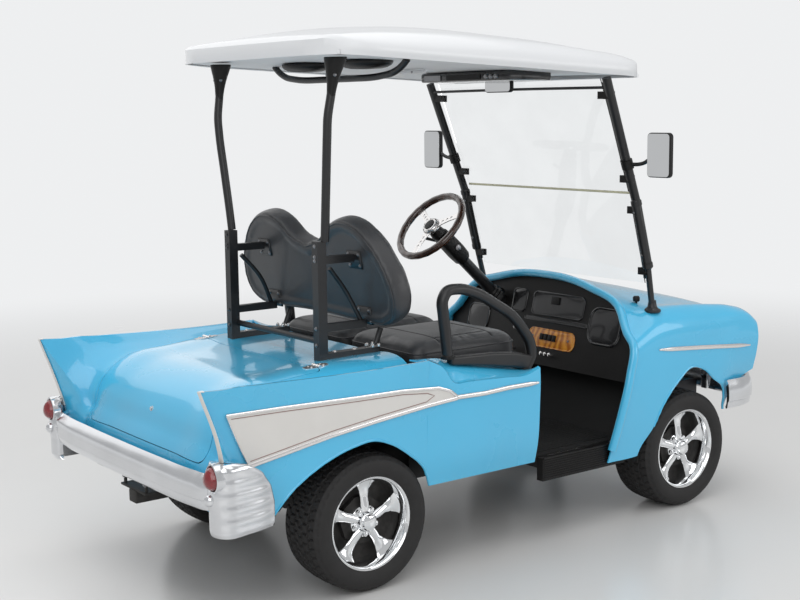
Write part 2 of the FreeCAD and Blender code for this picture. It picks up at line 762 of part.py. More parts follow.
def shell_loft(stations, wall):
    """A thin shell through stations of (foot, angle, half profile)."""
    rings = []
    for foot, angle, half in stations:
        outer = whole_width(half)
        inner = whole_width(offset_profile(half, wall))
        rings.append(in_space(outer, foot, angle) + in_space(reversed(inner), foot, angle))
    return skin_loft(rings)


def blend(low, high, share):
    return low + (high - low) * share


# Rear body: upright stations up to the tail pivot, then stations fanned about it
# Each is (y or angle, height of the fin's ridge, height of the deck, half width at the ridge), with the
# heights counted along the station's plane from the pivot's level.
UPRIGHT = [(500, 524, 515, 630), (760, 522, 512, 632), (1000, 527, 496, 636), (1150, 532, 480, 640)]
FANNED = [(82, 540, 455, 644), (76, 555, 430, 647), (69, 576, 388, 651), (61.5, 618, 339, 658), (57, 420, 325, 655),
          (52, 342, 312, 642), (36, 262, 252, 618), (15, 232, 226, 606)]


def rear_half(bottom, ridge, deck, wide, tight):
    """Half profile of the rear body: side, fin, gutter and deck."""
    side = size("body_half_width")
    rise = ridge - bottom
    gutter = min(deck, ridge) - 0.055 * rise
    return [
        (side - 30, bottom),
        (side - 12, bottom + 0.2 * rise),
        (side, bottom + 0.62 * rise),
        (blend(side, wide, 0.5), bottom + 0.85 * rise),
        (wide, ridge),
        (wide - 12, ridge),
        (blend(wide, 515 - tight, 0.55), blend(ridge, gutter, 0.62)),
        (515 - tight, gutter),
        (468 - tight, blend(gutter, deck, 0.8)),
        (240, deck - 2),
        (0, deck),
    ]


def rear_stations():
    pivot = (size("tail_pivot_y"), size("tail_pivot_z"))
    low = size("body_bottom") - pivot[1]
    stations = []
    for y, ridge, deck, wide in UPRIGHT:
        stations.append(((y, pivot[1]), 90, rear_half(low, ridge, deck, wide, 0)))
    for angle, ridge, deck, wide in FANNED:
        bottom = low / math.sin(math.radians(angle))
        stations.append((pivot, angle, rear_half(bottom, ridge, deck, wide, (90 - angle) * 0.3)))
    return stations


# Side pods beside the seat: (y, height of the outer edge, height of the inner edge)
POD = [(-55, 728, 706), (10, 707, 722), (120, 711, 744), (300, 719, 782), (370, 722, 800), (430, 790, 806), (500, 824, 812)]


def pod_half(outer, inner):
    side = size("body_half_width")
    low = size("body_bottom")
    rise = outer - low
    return [
        (side - 30, low),
        (side - 12, low + 0.2 * rise),
        (side, low + 0.62 * rise),
        (side + 3, low + 0.9 * rise),
        (side + 1, outer),
        (side - 12, outer + 4),
        (blend(side, 512, 0.5), blend(outer, inner, 0.6)),
        (512, inner),
    ]


def pod_loft():
    rings = []
    for y, outer, inner in POD:
        half = pod_half(outer, inner)
        back = offset_profile(half + [(470, inner)], size("skin"))[:-1]
        rings.append([V(x, y, z) for x, z in half] + [V(x, y, z) for x, z in reversed(back)])
    return skin_loft(rings)


def prism_across(outline, half):
    """A closed (y, z) outline pulled across the cart from -half to +half."""
    loop = [V(-half, y, z) for y, z in outline]
    return Part.Face(Part.makePolygon(loop + loop[:1])).extrude(V(2 * half, 0, 0))


REAR_ARCH = [(455, 250), (471, 348), (505, 420), (585, 492), (660, 540), (739, 566), (830, 556), (974, 507),
             (1080, 440), (1159, 348), (1175, 250)]
FRONT_ARCH = [(-620, 200), (-651, 299), (-727, 385), (-772, 468), (-850, 556), (-943, 618), (-1040, 590),
              (-1089, 551), (-1163, 500), (-1181, 395), (-1181, 200)]


def arch_cut(outline):
    return prism_across(outline, 800)


def lid_outline(gap):
    """The lid's region seen from the side, grown by a gap."""
    front = size("lid_front") - gap
    low = size("lid_bottom") - gap
    return [(front, 640), (front, 960), (1700, 960), (1700, low), (1230, low), (1230, 640)]


rear_shell = shell_loft(rear_stations(), size("skin"))
left_pod = pod_loft()
lid_gap = size("moving_gap")
lid_hole = prism_across(lid_outline(lid_gap), size("lid_half_width") + lid_gap)
lid_block = prism_across(lid_outline(0), size("lid_half_width"))


def hinge(side):
    """Body half and lid half of one boot hinge, standing on the deck."""
    x = side * size("lid_hinge_x")
    y = size("lid_hinge_y")
    z = size("lid_hinge_z")
    barrel = size("hinge_barrel")
    pin = size("lid_hinge_pin")
    ear = 1.6 * barrel
    along = V(1, 0, 0)
    body_half = [Part.makeBox(5 * barrel, 3 * barrel, barrel, V(x - 2.5 * barrel, y - 4.2 * barrel, z - 1.7 * barrel))]
    for start in (x - 2.5 * barrel, x + 2.5 * barrel - ear):
        body_half.append(flat_rod(barrel, ear, V(start, y, z)))
        body_half.append(Part.makeBox(ear, 2.4 * barrel, 0.7 * barrel, V(start, y - 2.4 * barrel, z - 0.9 * barrel)))
    body_half.append(Part.makeCylinder(pin, 5 * barrel, V(x - 2.5 * barrel, y, z), along))
    middle = 5 * barrel - 2 * ear - 1
    knuckle_block = flat_rod(barrel, middle, V(x - middle / 2, y, z))
    leaf = Part.makeBox(middle, 4 * barrel, 0.6 * barrel, V(x - middle / 2, y, z - barrel))
    foot = Part.makeBox(middle, 2.5 * barrel, 1.3 * barrel, V(x - middle / 2, y + 1.5 * barrel, z - 1.8 * barrel))
    lid_half = knuckle_block.fuse([leaf, foot])
    return body_half, lid_half.cut(Part.makeCylinder(pin + size("running_gap"), middle + 2, V(x - middle / 2 - 1, y, z), along))


hinges = [hinge(1), hinge(-1)]
iron_gap = 4
iron_holes = []
for side in (1, -1):
    width = size("rail_width") + 2 * iron_gap
    low = size("rear_rail_top") - size("rail_height") - iron_gap
    iron_holes.append(Part.makeBox(width, 120, size("rail_height") + 2 * iron_gap,
                                   V(side * size("rail_x") - width / 2, 1310, low)))
rear_form = rear_shell.fuse([left_pod, left_pod.mirror(V(), V(1, 0, 0))])
rear_form = rear_form.cut([lid_hole, arch_cut(REAR_ARCH)] + iron_holes)
rear_form = rear_form.fuse(hinges[0][0] + hinges[1][0])
rear_form = rear_form.removeSplitter()
node("rear_body", shaped("RearBody", rear_form))
node("boot_lid", shaped("BootLid", rear_shell.common(lid_block).fuse([hinges[0][1], hinges[1][1]])))

# Boot tub: a trough on the rear rails with flanges out to the body sides, clear of the rear wheels
TUB = [
    ("0 - tub_flange", "tub_top - tub_sheet"), ("0 - tub_flange", "tub_top"),
    ("tub_sheet - tub_half_width", "tub_top"), ("tub_sheet - tub_half_width", "tub_low + tub_sheet"),
    ("tub_half_width - tub_sheet", "tub_low + tub_sheet"), ("tub_half_width - tub_sheet", "tub_top"),
    ("tub_flange", "tub_top"), ("tub_flange", "tub_top - tub_sheet"),
    ("tub_half_width", "tub_top - tub_sheet"), ("tub_half_width", "tub_low"),
    ("0 - tub_half_width", "tub_low"), ("0 - tub_half_width", "tub_top - tub_sheet"),
]
TUB = [(across.replace("tub_flange", "(body_half_width - skin - tub_clearance)"),
        up.replace("tub_low", "(rear_rail_top + seat_gap)")) for across, up in TUB]
trough = padded("TubTrough", "XZ_Plane", TUB, "tub_rear - tub_front", y="tub_rear")
tub_ends = [box("TubEnd" + word, ("0 - tub_half_width", "tub_half_width"), (at, at + " + tub_sheet"),
                ("rear_rail_top + seat_gap", "tub_top"))
            for word, at in (("Front", "tub_front"), ("Rear", "tub_rear - tub_sheet"))]
tub_corners = [box("TubCorner" + word, ends, ("tub_rear - tub_corner", "tub_rear + 5"), ("tub_top - 20", "tub_top + 5"))
               for word, ends in (("Left", ("body_half_width - 8 * tub_corner", "body_half_width")),
                                  ("Right", ("0 - body_half_width", "8 * tub_corner - body_half_width")))]
node("boot_tub", cut("BootTub", fuse("TubSolid", [trough] + tub_ends), tub_corners))

# Front body: stations that lean back with the door opening and stand upright at the nose
# (y at the level of the lower edge, angle, lower edge, fender height, valley height, middle height)
COWL = [
    (-486, 105.3, 270, 800, 905, 995),
    (-640, 101, 270, 862, 895, 972),
    (-800, 97, 290, 874, 880, 945),
    (-960, 93, 300, 872, 868, 920),
    (-1120, 90, 330, 862, 850, 890),
    (-1260, 90, 500, 845, 828, 856),
    (-1350, 90, 540, 818, 806, 824),
    (-1385, 90, 550, 790, 786, 800),
]


def front_half(bottom, fender, valley, middle):
    side = size("body_half_width") - 4
    rise = fender - bottom
    return [
        (side - 26, bottom),
        (side - 6, bottom + 0.35 * rise),
        (side, bottom + 0.7 * rise),
        (side - 16, bottom + 0.92 * rise),
        (side - 62, fender),
        (470, valley),
        (300, blend(valley, middle, 0.62)),
        (150, blend(valley, middle, 0.93)),
        (0, middle),
    ]


def front_stations():
    stations = []
    for y, angle, bottom, fender, valley, middle in COWL:
        lift = 1 / math.sin(math.radians(angle))
        low = size("body_bottom")
        half = [(x, (z - low) * lift) for x, z in front_half(bottom, fender, valley, middle)]
        stations.append(((y, low), angle, half))
    return stations


def nose_panel():
    """The upright panel that closes the nose, with the grille's opening and two lamp holes."""
    y, angle, bottom, fender, valley, middle = COWL[-1]
    outline = [V(x, y, z) for x, z in whole_width(front_half(bottom, fender, valley, middle))]
    panel = Part.Face(Part.makePolygon(outline + outline[:1])).extrude(V(0, size("skin"), 0))
    holes = [Part.makeBox(2 * size("grille_half"), 60, size("grille_height"),
                          V(-size("grille_half"), y - 20, size("grille_bottom")))]
    for side in (1, -1):
        holes.append(Part.makeCylinder(size("lamp_radius"), 60, V(side * size("lamp_x"), y - 20, size("lamp_z")), V(0, 1, 0)))
    return panel.cut(holes)


front_form = shell_loft(front_stations(), size("skin")).cut(arch_cut(FRONT_ARCH)).fuse(nose_panel())
node("front_body", shaped("FrontBody", front_form))

# Chrome bumpers, each a bar that wraps round the corners of the body
REAR_BAR = [(0, 1480), (300, 1472), (510, 1452), (624, 1418), (652, 1356), (650, 1180)]
REAR_BAR_BACK = [(636, 1180), (636, 1366), (606, 1398), (500, 1430), (300, 1450), (0, 1460)]
REAR_WING = [(1182, 355), (1182, 440), (1198, 500), (1234, 552), (1292, 586), (1350, 598), (1396, 598), (1412, 540),
             (1412, 355)]
FRONT_BAR = [(0, -1480), (300, -1468), (500, -1435), (590, -1380), (628, -1290), (632, -1172)]
FRONT_BAR_BACK = [(616, -1172), (613, -1280), (572, -1360), (490, -1405), (300, -1440), (0, -1452)]


def bumper(name, outer, inner, low, high):
    outline = outer + inner + [(-x, y) for x, y in reversed(inner[:-1])] + [(-x, y) for x, y in reversed(outer[1:])]
    return padded(name, "XY_Plane", [(str(x), str(y)) for x, y in outline], high + " - " + low, z=low)




def tail_lamp_at(along, radius):
    """A lamp's flat-sided form behind the fin: pairs of (along, radius) about its own axis."""
    lamp = flat_sided_ring(list(zip(along, radius)), 12).fuse(Part.makeBox(along[-1] - along[0], 12, 12, V(along[0], -6, -6)))
    lamp.rotate(V(), V(0, 0, 1), 90)
    lamp.translate(V(size("tail_lamp_x"), LAMP_Y, size("tail_lamp_z")))
    return lamp.removeSplitter()


def bumper_wing():
    """A bulging pod round the body's corner: a wing along its side and a column that holds the lamp."""
    wing = size("bumper_wing_inner")
    inner = size("bumper_pod_inner")
    outer = size("bumper_pod_outer")
    plan = [(wing, 1182), (wing + 16, 1182), (outer - 10, 1262), (outer, 1340), (outer - 3, 1384), (outer - 22, 1406),
            (inner + 30, 1410), (inner, 1402), (inner, LAMP_Y + 8), (wing, LAMP_Y + 8)]
    low = REAR_WING[0][1]
    loop = [V(x, y, low) for x, y in plan]
    bulge = Part.Face(Part.makePolygon(loop + loop[:1])).extrude(V(0, 0, 400))
    loop = [V(inner - 20, y, z) for y, z in REAR_WING]
    side = Part.Face(Part.makePolygon(loop + loop[:1])).extrude(V(outer - inner + 40, 0, 0))
    return bulge.common(side)


LAMP_Y = 1372
LAMP_ALONG = (0, 0, 18, 32, 42, 46)
lamp_radii = [share * size("tail_lamp_radius") for share in (0.15, 1, 1, 0.8, 0.5, 0.15)]
bar_form = bumper("RearBar", REAR_BAR, REAR_BAR_BACK, "bumper_rear_low", "bumper_rear_top")
wing = bumper_wing()
wings = shaped("RearWings", both_sides(wing))
lamp_fit = size("tail_lamp_radius") + size("seat_gap")
lamp_holes = shaped("LampHoles", both_sides(tail_lamp_at((-5, -5, 90, 90), (6, lamp_fit, lamp_fit, 6))))
node("rear_bumper", cut("RearBumper", fuse("RearBumperSolid", [bar_form, wings]), [lamp_holes]))
node("front_bumper", bumper("FrontBumper", FRONT_BAR, FRONT_BAR_BACK, "bumper_front_low", "bumper_front_top"))

# Grille, headlamps and tail lamps
NOSE_Y = COWL[-1][0]


def grille_shape():
    half = size("grille_half") - size("seat_gap")
    low = size("grille_bottom") + size("seat_gap")
    high = size("grille_bottom") + size("grille_height") - size("seat_gap")
    rim = 12
    frame = Part.makeBox(2 * half, 16, high - low, V(-half, NOSE_Y - 6, low))
    frame = frame.cut(Part.makeBox(2 * (half - rim), 20, high - low - 2 * rim, V(rim - half, NOSE_Y - 8, low + rim)))
    bars = [Part.makeBox(2 * half - rim, 8, 7, V(rim / 2 - half, NOSE_Y - 2, low + (high - low) * step / 4 - 3.5))
            for step in (1, 2, 3)]
    bars += [Part.makeBox(7, 8, high - low - rim, V(half * step / 3 - 3.5, NOSE_Y - 2, low + rim / 2))
             for step in (-1, 0, 1)]
    return frame.fuse(bars)


node("grille", shaped("Grille", grille_shape()))


def headlamp():
    fit = size("lamp_radius") - size("seat_gap")
    lamp = flat_sided_ring([(-30, 8), (-30, fit), (4, fit), (14, 0.8 * fit), (20, 0.45 * fit), (20, 8)], 16)
    lamp = lamp.fuse(Part.makeBox(50, 16, 16, V(-30, -8, -8))).removeSplitter()
    lamp.rotate(V(), V(0, 0, 1), -90)
    lamp.translate(V(size("lamp_x"), NOSE_Y, size("lamp_z")))
    return lamp


node("headlamps", shaped("Headlamps", both_sides(headlamp())))


node("tail_lamps", shaped("TailLamps", both_sides(tail_lamp_at(LAMP_ALONG, lamp_radii))))


def side_x(y, z):
    """Half width of the rear body's side at a height, for what is fixed to its outside."""
    pivot_y = size("tail_pivot_y")
    pivot_z = size("tail_pivot_z")
    low = size("body_bottom") - pivot_z
    if y <= 500:
        stations = [(at, [(x, up) for x, up in pod_half(outer, inner)][:5]) for at, outer, inner in POD]
        key, height = y, z
    elif y <= pivot_y:
        stations = [(at, rear_half(low, ridge, deck, wide, 0)[:5]) for at, ridge, deck, wide in UPRIGHT]
        key, height = y, z - pivot_z
    else:
        first = [(90, rear_half(low, *UPRIGHT[-1][1:], 0)[:5])]
        stations = first + [(angle, rear_half(low / math.sin(math.radians(angle)), ridge, deck, wide, 0)[:5])
                            for angle, ridge, deck, wide in FANNED]
        stations = [(-angle, half) for angle, half in stations]
        key = -math.degrees(math.atan2(z - pivot_z, y - pivot_y))
        height = math.hypot(z - pivot_z, y - pivot_y)
    for (first, low_half), (second, high_half) in zip(stations, stations[1:]):
        if key <= second:
            break
    share = min(max((key - first) / (second - first), 0), 1)
    widths = []
    for half in (low_half, high_half):
        for (x0, up0), (x1, up1) in zip(half, half[1:]):
            if height <= up1:
                break
        widths.append(blend(x0, x1, min(max((height - up0) / (up1 - up0), 0), 1)))
    return blend(widths[0], widths[1], share)


def side_plate(stations, off, thick):
    """A strip on the body side through stations of (y, low, high), on both sides of the cart."""
    rings = []
    for y, low, high in stations:
        inner = [V(side_x(y, z) + off, y, z) for z in (low, high)]
        rings.append(inner + [point + V(thick, 0, 0) for point in reversed(inner)])
    return both_sides(skin_loft(rings))


INSERT = [(562, 738, 743), (610, 730, 774), (800, 708, 779), (1000, 688, 785), (1150, 674, 790), (1296, 660, 797),
          (1372, 794, 800)]
BELT = [(-40, 659, 671), (200, 684, 696), (400, 706, 718), (552, 726, 740)]
node("side_inserts", shaped("SideInserts", side_plate(INSERT, 1.2, size("trim"))))
node("side_mouldings", shaped("SideMouldings", side_plate(BELT, 1.2, 2 * size("trim"))))


# Dash under the cowl, in the door opening's leaning plane
def dash_ring(share):
    """The dash's outline just inside the cowl, a share of the way from its first station to its second."""
    low = size("body_bottom")
    y, angle, *rest = [blend(first, second, share) for first, second in zip(*COWL[:2])]
    lift = 1 / math.sin(math.radians(angle))
    half = [(x, (z - low) * lift) for x, z in front_half(*rest)]
    half = offset_profile(half, size("skin") + 2 * size("seat_gap"))[2:]
    narrow = 1 - size("dash_fit") / size("body_half_width")
    half = [(x * narrow, up) for x, up in half]
    half = [(half[0][0], (size("dash_bottom") - low) * lift)] + half
    return in_space(whole_width(half), (y, low), angle)


def dash_shape():
    panel = skin_loft([dash_ring(0.18), dash_ring(0.45)])
    ahead = size("floor_front") + size("toe_board_run")
    shelf = Part.makeBox(2 * size("floor_half_width") - 20, ahead - 590, 8,
                         V(10 - size("floor_half_width"), -ahead, size("dash_bottom") + size("seat_gap")))
    return panel.fuse(shelf)


def column_place():
    """The steering wheel's plane, its axis rising from the dash towards the driver."""
    lean = FreeCAD.Rotation(V(1, 0, 0), -(90 - size("column_angle")))
    return FreeCAD.Placement(V(size("wheel_hub_x"), -size("wheel_hub_y"), size("wheel_hub_z")), lean)


column = bent_bar([V(0, 0, -size("column_length")), V(0, 0, -60)], size("column_radius"), 12)
column = column.cut(Part.makeCylinder(size("column_shaft") + size("running_gap"), size("column_length"),
                                      V(0, 0, 4 - size("column_length"))))
hole = Part.makeCylinder(size("column_radius") + size("seat_gap"), 400, V(0, 0, -size("column_length") - 100))
hole.Placement = column_place()
node("dash_panel", shaped("DashPanel", dash_shape().cut(hole)))
node("steering_column", shaped("SteeringColumn", column, column_place()))


def hand_wheel():
    grip = size("hand_wheel_grip")
    middle = size("hand_wheel_radius") - grip
    section = [(grip * math.sin(math.radians(60 * step)), middle + grip * math.cos(math.radians(60 * step)))
               for step in range(6)]
    ring = flat_sided_ring(section, 18)
    ring.rotate(V(), V(0, 1, 0), -90)
    pieces = [bent_bar([V(0, 0, -14), V(0, 0, 8)], 40, 12), bent_bar([V(0, 0, -56), V(0, 0, -13)], 22, 10),
              Part.makeCylinder(size("column_shaft"), size("column_length") - 6, V(0, 0, 6 - size("column_length")))]
    for turn in (90, 210, 330):
        spoke = Part.makeBox(middle - 30, 26, 6, V(30, -13, -8))
        spoke.rotate(V(), V(0, 0, 1), turn)
        pieces.append(spoke)
    return ring.fuse(pieces).removeSplitter()


node("steering_wheel", shaped("SteeringWheel", hand_wheel(), column_place()))


def pedal(name, low, high):
    outline = [("0 - floor_front + 52", FLOOR_TOP), ("0 - floor_front + 30", FLOOR_TOP),
               ("0 - floor_front - 10", FLOOR_TOP + " + 90"), ("0 - floor_front - 2", FLOOR_TOP + " + 96")]
    return padded(name, "YZ_Plane", outline, high + " - " + low, x=low)


node("pedals", together("Pedals", [pedal("BrakePedal", "170", "250"), pedal("DrivePedal", "290", "350")]))

# Roof: stations of (y, rim height, crown height)
ROOF = [(-655, 1840, 1886), (-600, 1843, 1925), (-390, 1853, 1977), (0, 1872, 2022), (400, 1890, 2039),
        (700, 1904, 2010), (820, 1909, 1975), (865, 1911, 1957)]


def roof_half(rim, crown):
    shoulder = rim + size("roof_edge")
    rise = crown - shoulder
    return [(598, rim), (606, rim + 22), (597, shoulder - 8), (560, shoulder + 0.22 * rise), (470, shoulder + 0.55 * rise),
            (330, shoulder + 0.82 * rise), (160, shoulder + 0.96 * rise), (0, crown)]


def roof_shape():
    stations = [((y, 0), 90, roof_half(rim, crown)) for y, rim, crown in ROOF]
    shell = shell_loft(stations, size("roof_skin"))
    for y, rim, crown, way in ((*ROOF[0], 1), (*ROOF[-1], -1)):
        outline = [V(x, y, z) for x, z in whole_width(roof_half(rim, crown))]
        shell = shell.fuse(Part.Face(Part.makePolygon(outline + outline[:1])).extrude(V(0, way * size("roof_skin"), 0)))
    return shell


roof_form = roof_shape()
node("roof", shaped("Roof", roof_form))

# Struts: the rear ones rise from the seat's posts, the front ones lean back from flanges on the cowl
FRONT_STRUT = [V(551, -728, 1059), V(549, -652, 1341), V(564, -456, 1842)]
FRONT_FOOT = V(541, -766, 900)
REAR_STRUT = [V(335, 745, 1252.8), V(341, 746.5, 1300), V(391, 762, 1668), V(408, 731, 1920)]


def strut_flange(foot):
    """A four-sided flange that sits on the cowl round the foot of a strut."""
    half = 34
    heights = [surface_at(front_form, foot.x + dx, foot.y + dy) for dx in (-half, half) for dy in (-half, half)]
    low = max(heights) + size("seat_gap")
    return Part.makeBox(2 * half, 2 * half, foot.z - low + 12, V(foot.x - half, foot.y - half, low))


front_path = [FRONT_FOOT] + rounded(FRONT_STRUT, 160)
front_strut = bent_bar(front_path, size("strut_radius")).fuse(strut_flange(FRONT_FOOT))
node("front_struts", shaped("FrontStruts", both_sides(front_strut)))
rear_path = [REAR_STRUT[0]] + rounded(REAR_STRUT[1:], 300)
node("rear_struts", shaped("RearStruts", both_sides(bent_bar(rear_path, size("strut_radius")))))


def strut_socket(path, drop, flare):
    """A flared socket under the roof round the end of a strut."""
    top = path[-1]
    reach = (path[-1] - path[-2]).normalize()
    low = top - reach * drop
    ahead = top + reach * 90
    faces = []
    for point, radius in ((low, 18), (top, flare), (ahead, flare)):
        faces.append([point + V(radius * math.cos(math.radians(a)), radius * math.sin(math.radians(a)), 0)
                      for a in range(15, 375, 40)])
    cone = skin_loft(faces)
    under = roof_form.copy()
    under.translate(V(0, 0, -size("seat_gap")))
    cone = cone.cut(under)
    cone = min(cone.Solids, key=lambda piece: piece.CenterOfMass.z)
    grown = bent_bar(path[-2:], size("strut_radius") + size("seat_gap"))
    return cone.cut(grown).removeSplitter()


sockets = [both_sides(strut_socket(front_path, 22, 20)), both_sides(strut_socket(rear_path, 16, 36))]
node("strut_sockets", shaped("StrutSockets", Part.makeCompound(sockets)))

# Windscreen in two panes, held by clips on the front struts
LOWER_GLASS = [(-752, 988), (-657, 1366)]
UPPER_GLASS = [(-653, 1376), (-474, 1836)]


def glass(name, ends):
    (y0, z0), (y1, z1) = ends
    outline = [(str(y0), str(z0)), ("%s + glass_sheet" % y0, str(z0)), ("%s + glass_sheet" % y1, str(z1)), (str(y1), str(z1))]
    return padded(name, "YZ_Plane", outline, "2 * glass_half_width", x="0 - glass_half_width")


node("windscreen_lower", glass("WindscreenLower", LOWER_GLASS))
node("windscreen_upper", glass("WindscreenUpper", UPPER_GLASS))


def glass_clip(z, ends):
    """A block on a front strut that grips the edge of a pane."""
    for before, after in zip(front_path, front_path[1:]):
        if before.z <= z <= after.z:
            break
    along = blend(before, after, (z - before.z) / (after.z - before.z))
    (y0, z0), (y1, z1) = ends
    middle = blend(y0, y1, (z - z0) / (z1 - z0)) + size("glass_sheet") / 2
    front = min(middle, along.y) - 13
    rear = max(middle, along.y) + 13
    block = Part.makeBox(along.x - 502, rear - front, 30, V(502, front, z - 15))
    gap = size("seat_gap")
    wide = size("glass_half_width") + gap
    lean = (y1 - y0) / (z1 - z0)
    slot = [(y0 - gap - 60 * lean, z0 - 60), (y0 + size("glass_sheet") + gap - 60 * lean, z0 - 60),
            (y1 + size("glass_sheet") + gap + 60 * lean, z1 + 60), (y1 - gap + 60 * lean, z1 + 60)]
    return block.cut([prism_across(slot, wide), bent_bar(front_path, size("strut_radius") + gap)])


clips = [both_sides(glass_clip(z, ends)) for z, ends in ((1040, LOWER_GLASS), (1300, LOWER_GLASS), (1430, UPPER_GLASS),
                                                         (1770, UPPER_GLASS))]
node("glass_clips", shaped("GlassClips", Part.makeCompound(clips)))

# Seats
CUSHION = [
    ("12 - cushion_front", "seat_base_top + seat_gap"), ("0 - cushion_front", "seat_base_top + 30"),
    ("0 - cushion_front", "cushion_top - 30"), ("32 - cushion_front", "cushion_top"),
    ("cushion_rear", "cushion_top - 12"), ("cushion_rear", "seat_base_top + seat_gap"),
]
node("seat_cushion", padded("SeatCushion", "YZ_Plane", CUSHION, "2 * cushion_half", x="0 - cushion_half"))
BACK = [(0, 0), (300, 0), (470, 30), (520, 95), (522, 190), (475, 320), (400, 425), (330, 466), (250, 473), (165, 445),
        (80, 385), (0, 362)]


def seat_back_part(name, shrink, depth, behind):
    """One layer of the seat back, its outline in the leaning plane of the back."""
    half = [(x * shrink, z * shrink) for x, z in BACK]
    points = [V(x, behind, z) for x, z in half] + [V(-x, behind, z) for x, z in reversed(half[1:-1])]
    form = Part.Face(Part.makePolygon(points + points[:1])).extrude(V(0, -depth, 0))
    thing = shaped(name, form)
    lean = FreeCAD.Rotation(V(1, 0, 0), -size("back_lean"))
    thing.Placement = FreeCAD.Placement(V(0, size("back_foot_y"), size("back_foot_z")), lean)
    return thing


node("seat_back", seat_back_part("SeatBack", 0.985, size("back_pad"), 0))
node("seat_back_shell", seat_back_part("SeatBackShell", 1, size("back_shell"), size("back_shell") + size("seat_gap")))


def seat_frame_side(side):
    """A post with a foot bar along the deck and two arms to the back shell."""
    word = "Left" if side > 0 else "Right"
    x = "%d * post_x" % side
    half = " post_side / 2"
    post = box("Post" + word, (x + " -" + half, x + " +" + half), ("post_y -" + half, "post_y +" + half),
               ("deck_height + seat_gap", "post_top"))
    foot = box("Foot" + word, (x + " -" + half, x + " +" + half), ("post_y - 255", "post_y"),
               ("deck_height + seat_gap", "deck_height + 26"))
    arms = []
    for end, top in (("Low", 946), ("High", 1196)):
        face = "back_foot_y + (%d - back_foot_z) * tan(back_lean) + (back_shell + 2 * seat_gap) / cos(back_lean)" % top
        arms.append(box("Arm" + end + word, (x + " - 14", x + " + 14"), (face, "post_y"), ("%d - 28" % top, str(top))))
    return [post, foot] + arms


node("seat_frame", together("SeatFrame", [fuse("SeatFrameLeft", seat_frame_side(1)),
                                          fuse("SeatFrameRight", seat_frame_side(-1))]))


RESTRAINT = [(343, None), (350, 1066), (199, 1038), (29, 943), (-86, 797), (-32, None)]


def restraint():
    """One armrest loop standing on the side pod."""
    x = size("restraint_x")
    radius = size("restraint_radius")
    path = []
    for y, z in RESTRAINT:
        if z is None:
            z = max(surface_at(rear_form, x + dx, y + dy) for dx in (-radius, radius) for dy in (-radius, radius))
            z = z + size("seat_gap") + (size("restraint_heel") if y < 0 else 0)
        path.append(V(x, y, z))
    corner = rounded(path[:3], 60)
    drop = rounded(path[3:], 45)
    return bent_bar(corner + drop, radius)


node("hip_restraints", shaped("HipRestraints", both_sides(restraint())))

# Mirrors on the struts and under the roof
arm = flat_rod(7, 96, V(568, -597, 1480), 6)
arm = arm.cut(bent_bar(front_path, size("strut_radius") + size("seat_gap")))
head = Part.makeBox(122, 24, 178, V(662, -612, 1442))
stalk = min(surface_at(roof_form, 60 + dx, dy - 440, False) for dx in (-7, 7) for dy in (-7, 7)) - size("seat_gap") - 1840
centre = Part.makeBox(170, 22, 56, V(-25, -451, 1790)).fuse(bent_bar([V(60, -440, 1840), V(60, -440, 1840 + stalk)], 7, 6))
node("mirrors", shaped("Mirrors", Part.makeCompound([both_sides(arm.fuse(head)), centre])))

doc.recompute()
os.makedirs("parts", exist_ok=True)
for thing in doc.Objects:
    if any(word in ("Invalid", "Error") for word in thing.State):
        raise RuntimeError("%s is %s" % (thing.Name, thing.State))
for thing in NODES:
    if thing.Shape.isNull() or not thing.Shape.isValid():
        raise RuntimeError("%s has no valid shape" % thing.Label)
for thing in NODES:
    thing.Shape.exportStep("parts/%s.step" % thing.Label)
print("%d sub-parts written" % len(NODES))
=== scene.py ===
import bpy
import bmesh
import json
import math
from mathutils import Matrix, Vector as V
from mathutils.bvhtree import BVHTree
from mathutils.kdtree import KDTree


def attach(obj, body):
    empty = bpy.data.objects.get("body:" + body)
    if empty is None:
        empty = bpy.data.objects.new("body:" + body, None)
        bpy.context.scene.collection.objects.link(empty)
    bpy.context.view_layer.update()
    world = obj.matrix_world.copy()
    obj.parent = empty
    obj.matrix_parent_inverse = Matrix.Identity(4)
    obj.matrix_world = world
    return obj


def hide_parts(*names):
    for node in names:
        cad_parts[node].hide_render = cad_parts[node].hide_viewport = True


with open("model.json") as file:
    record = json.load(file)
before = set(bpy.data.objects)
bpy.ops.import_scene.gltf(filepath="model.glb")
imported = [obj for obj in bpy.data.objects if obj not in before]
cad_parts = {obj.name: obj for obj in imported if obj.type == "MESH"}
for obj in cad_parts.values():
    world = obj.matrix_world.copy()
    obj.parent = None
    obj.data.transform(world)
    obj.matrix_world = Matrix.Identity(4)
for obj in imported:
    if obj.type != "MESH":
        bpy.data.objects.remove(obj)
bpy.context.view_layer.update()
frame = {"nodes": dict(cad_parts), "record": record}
scene = bpy.context.scene
MM = 0.001
SIDES = (("left", 1), ("right", -1))


def link(name, data):
    """Put a new object into the scene."""
    thing = bpy.data.objects.new(name, data)
    scene.collection.objects.link(thing)
    return thing


# Camera, at the photograph's place
CAMERA_PLACE = (-4.347, 3.422, 1.722)
AZIMUTH, ELEVATION, ROLL = math.radians(232.9), math.radians(8.21), math.radians(-0.66)
PICTURE_WIDTH, FOCAL_LENGTH, CENTRE_SHIFT = 800, 1332.9, (-4.1, 1.9)


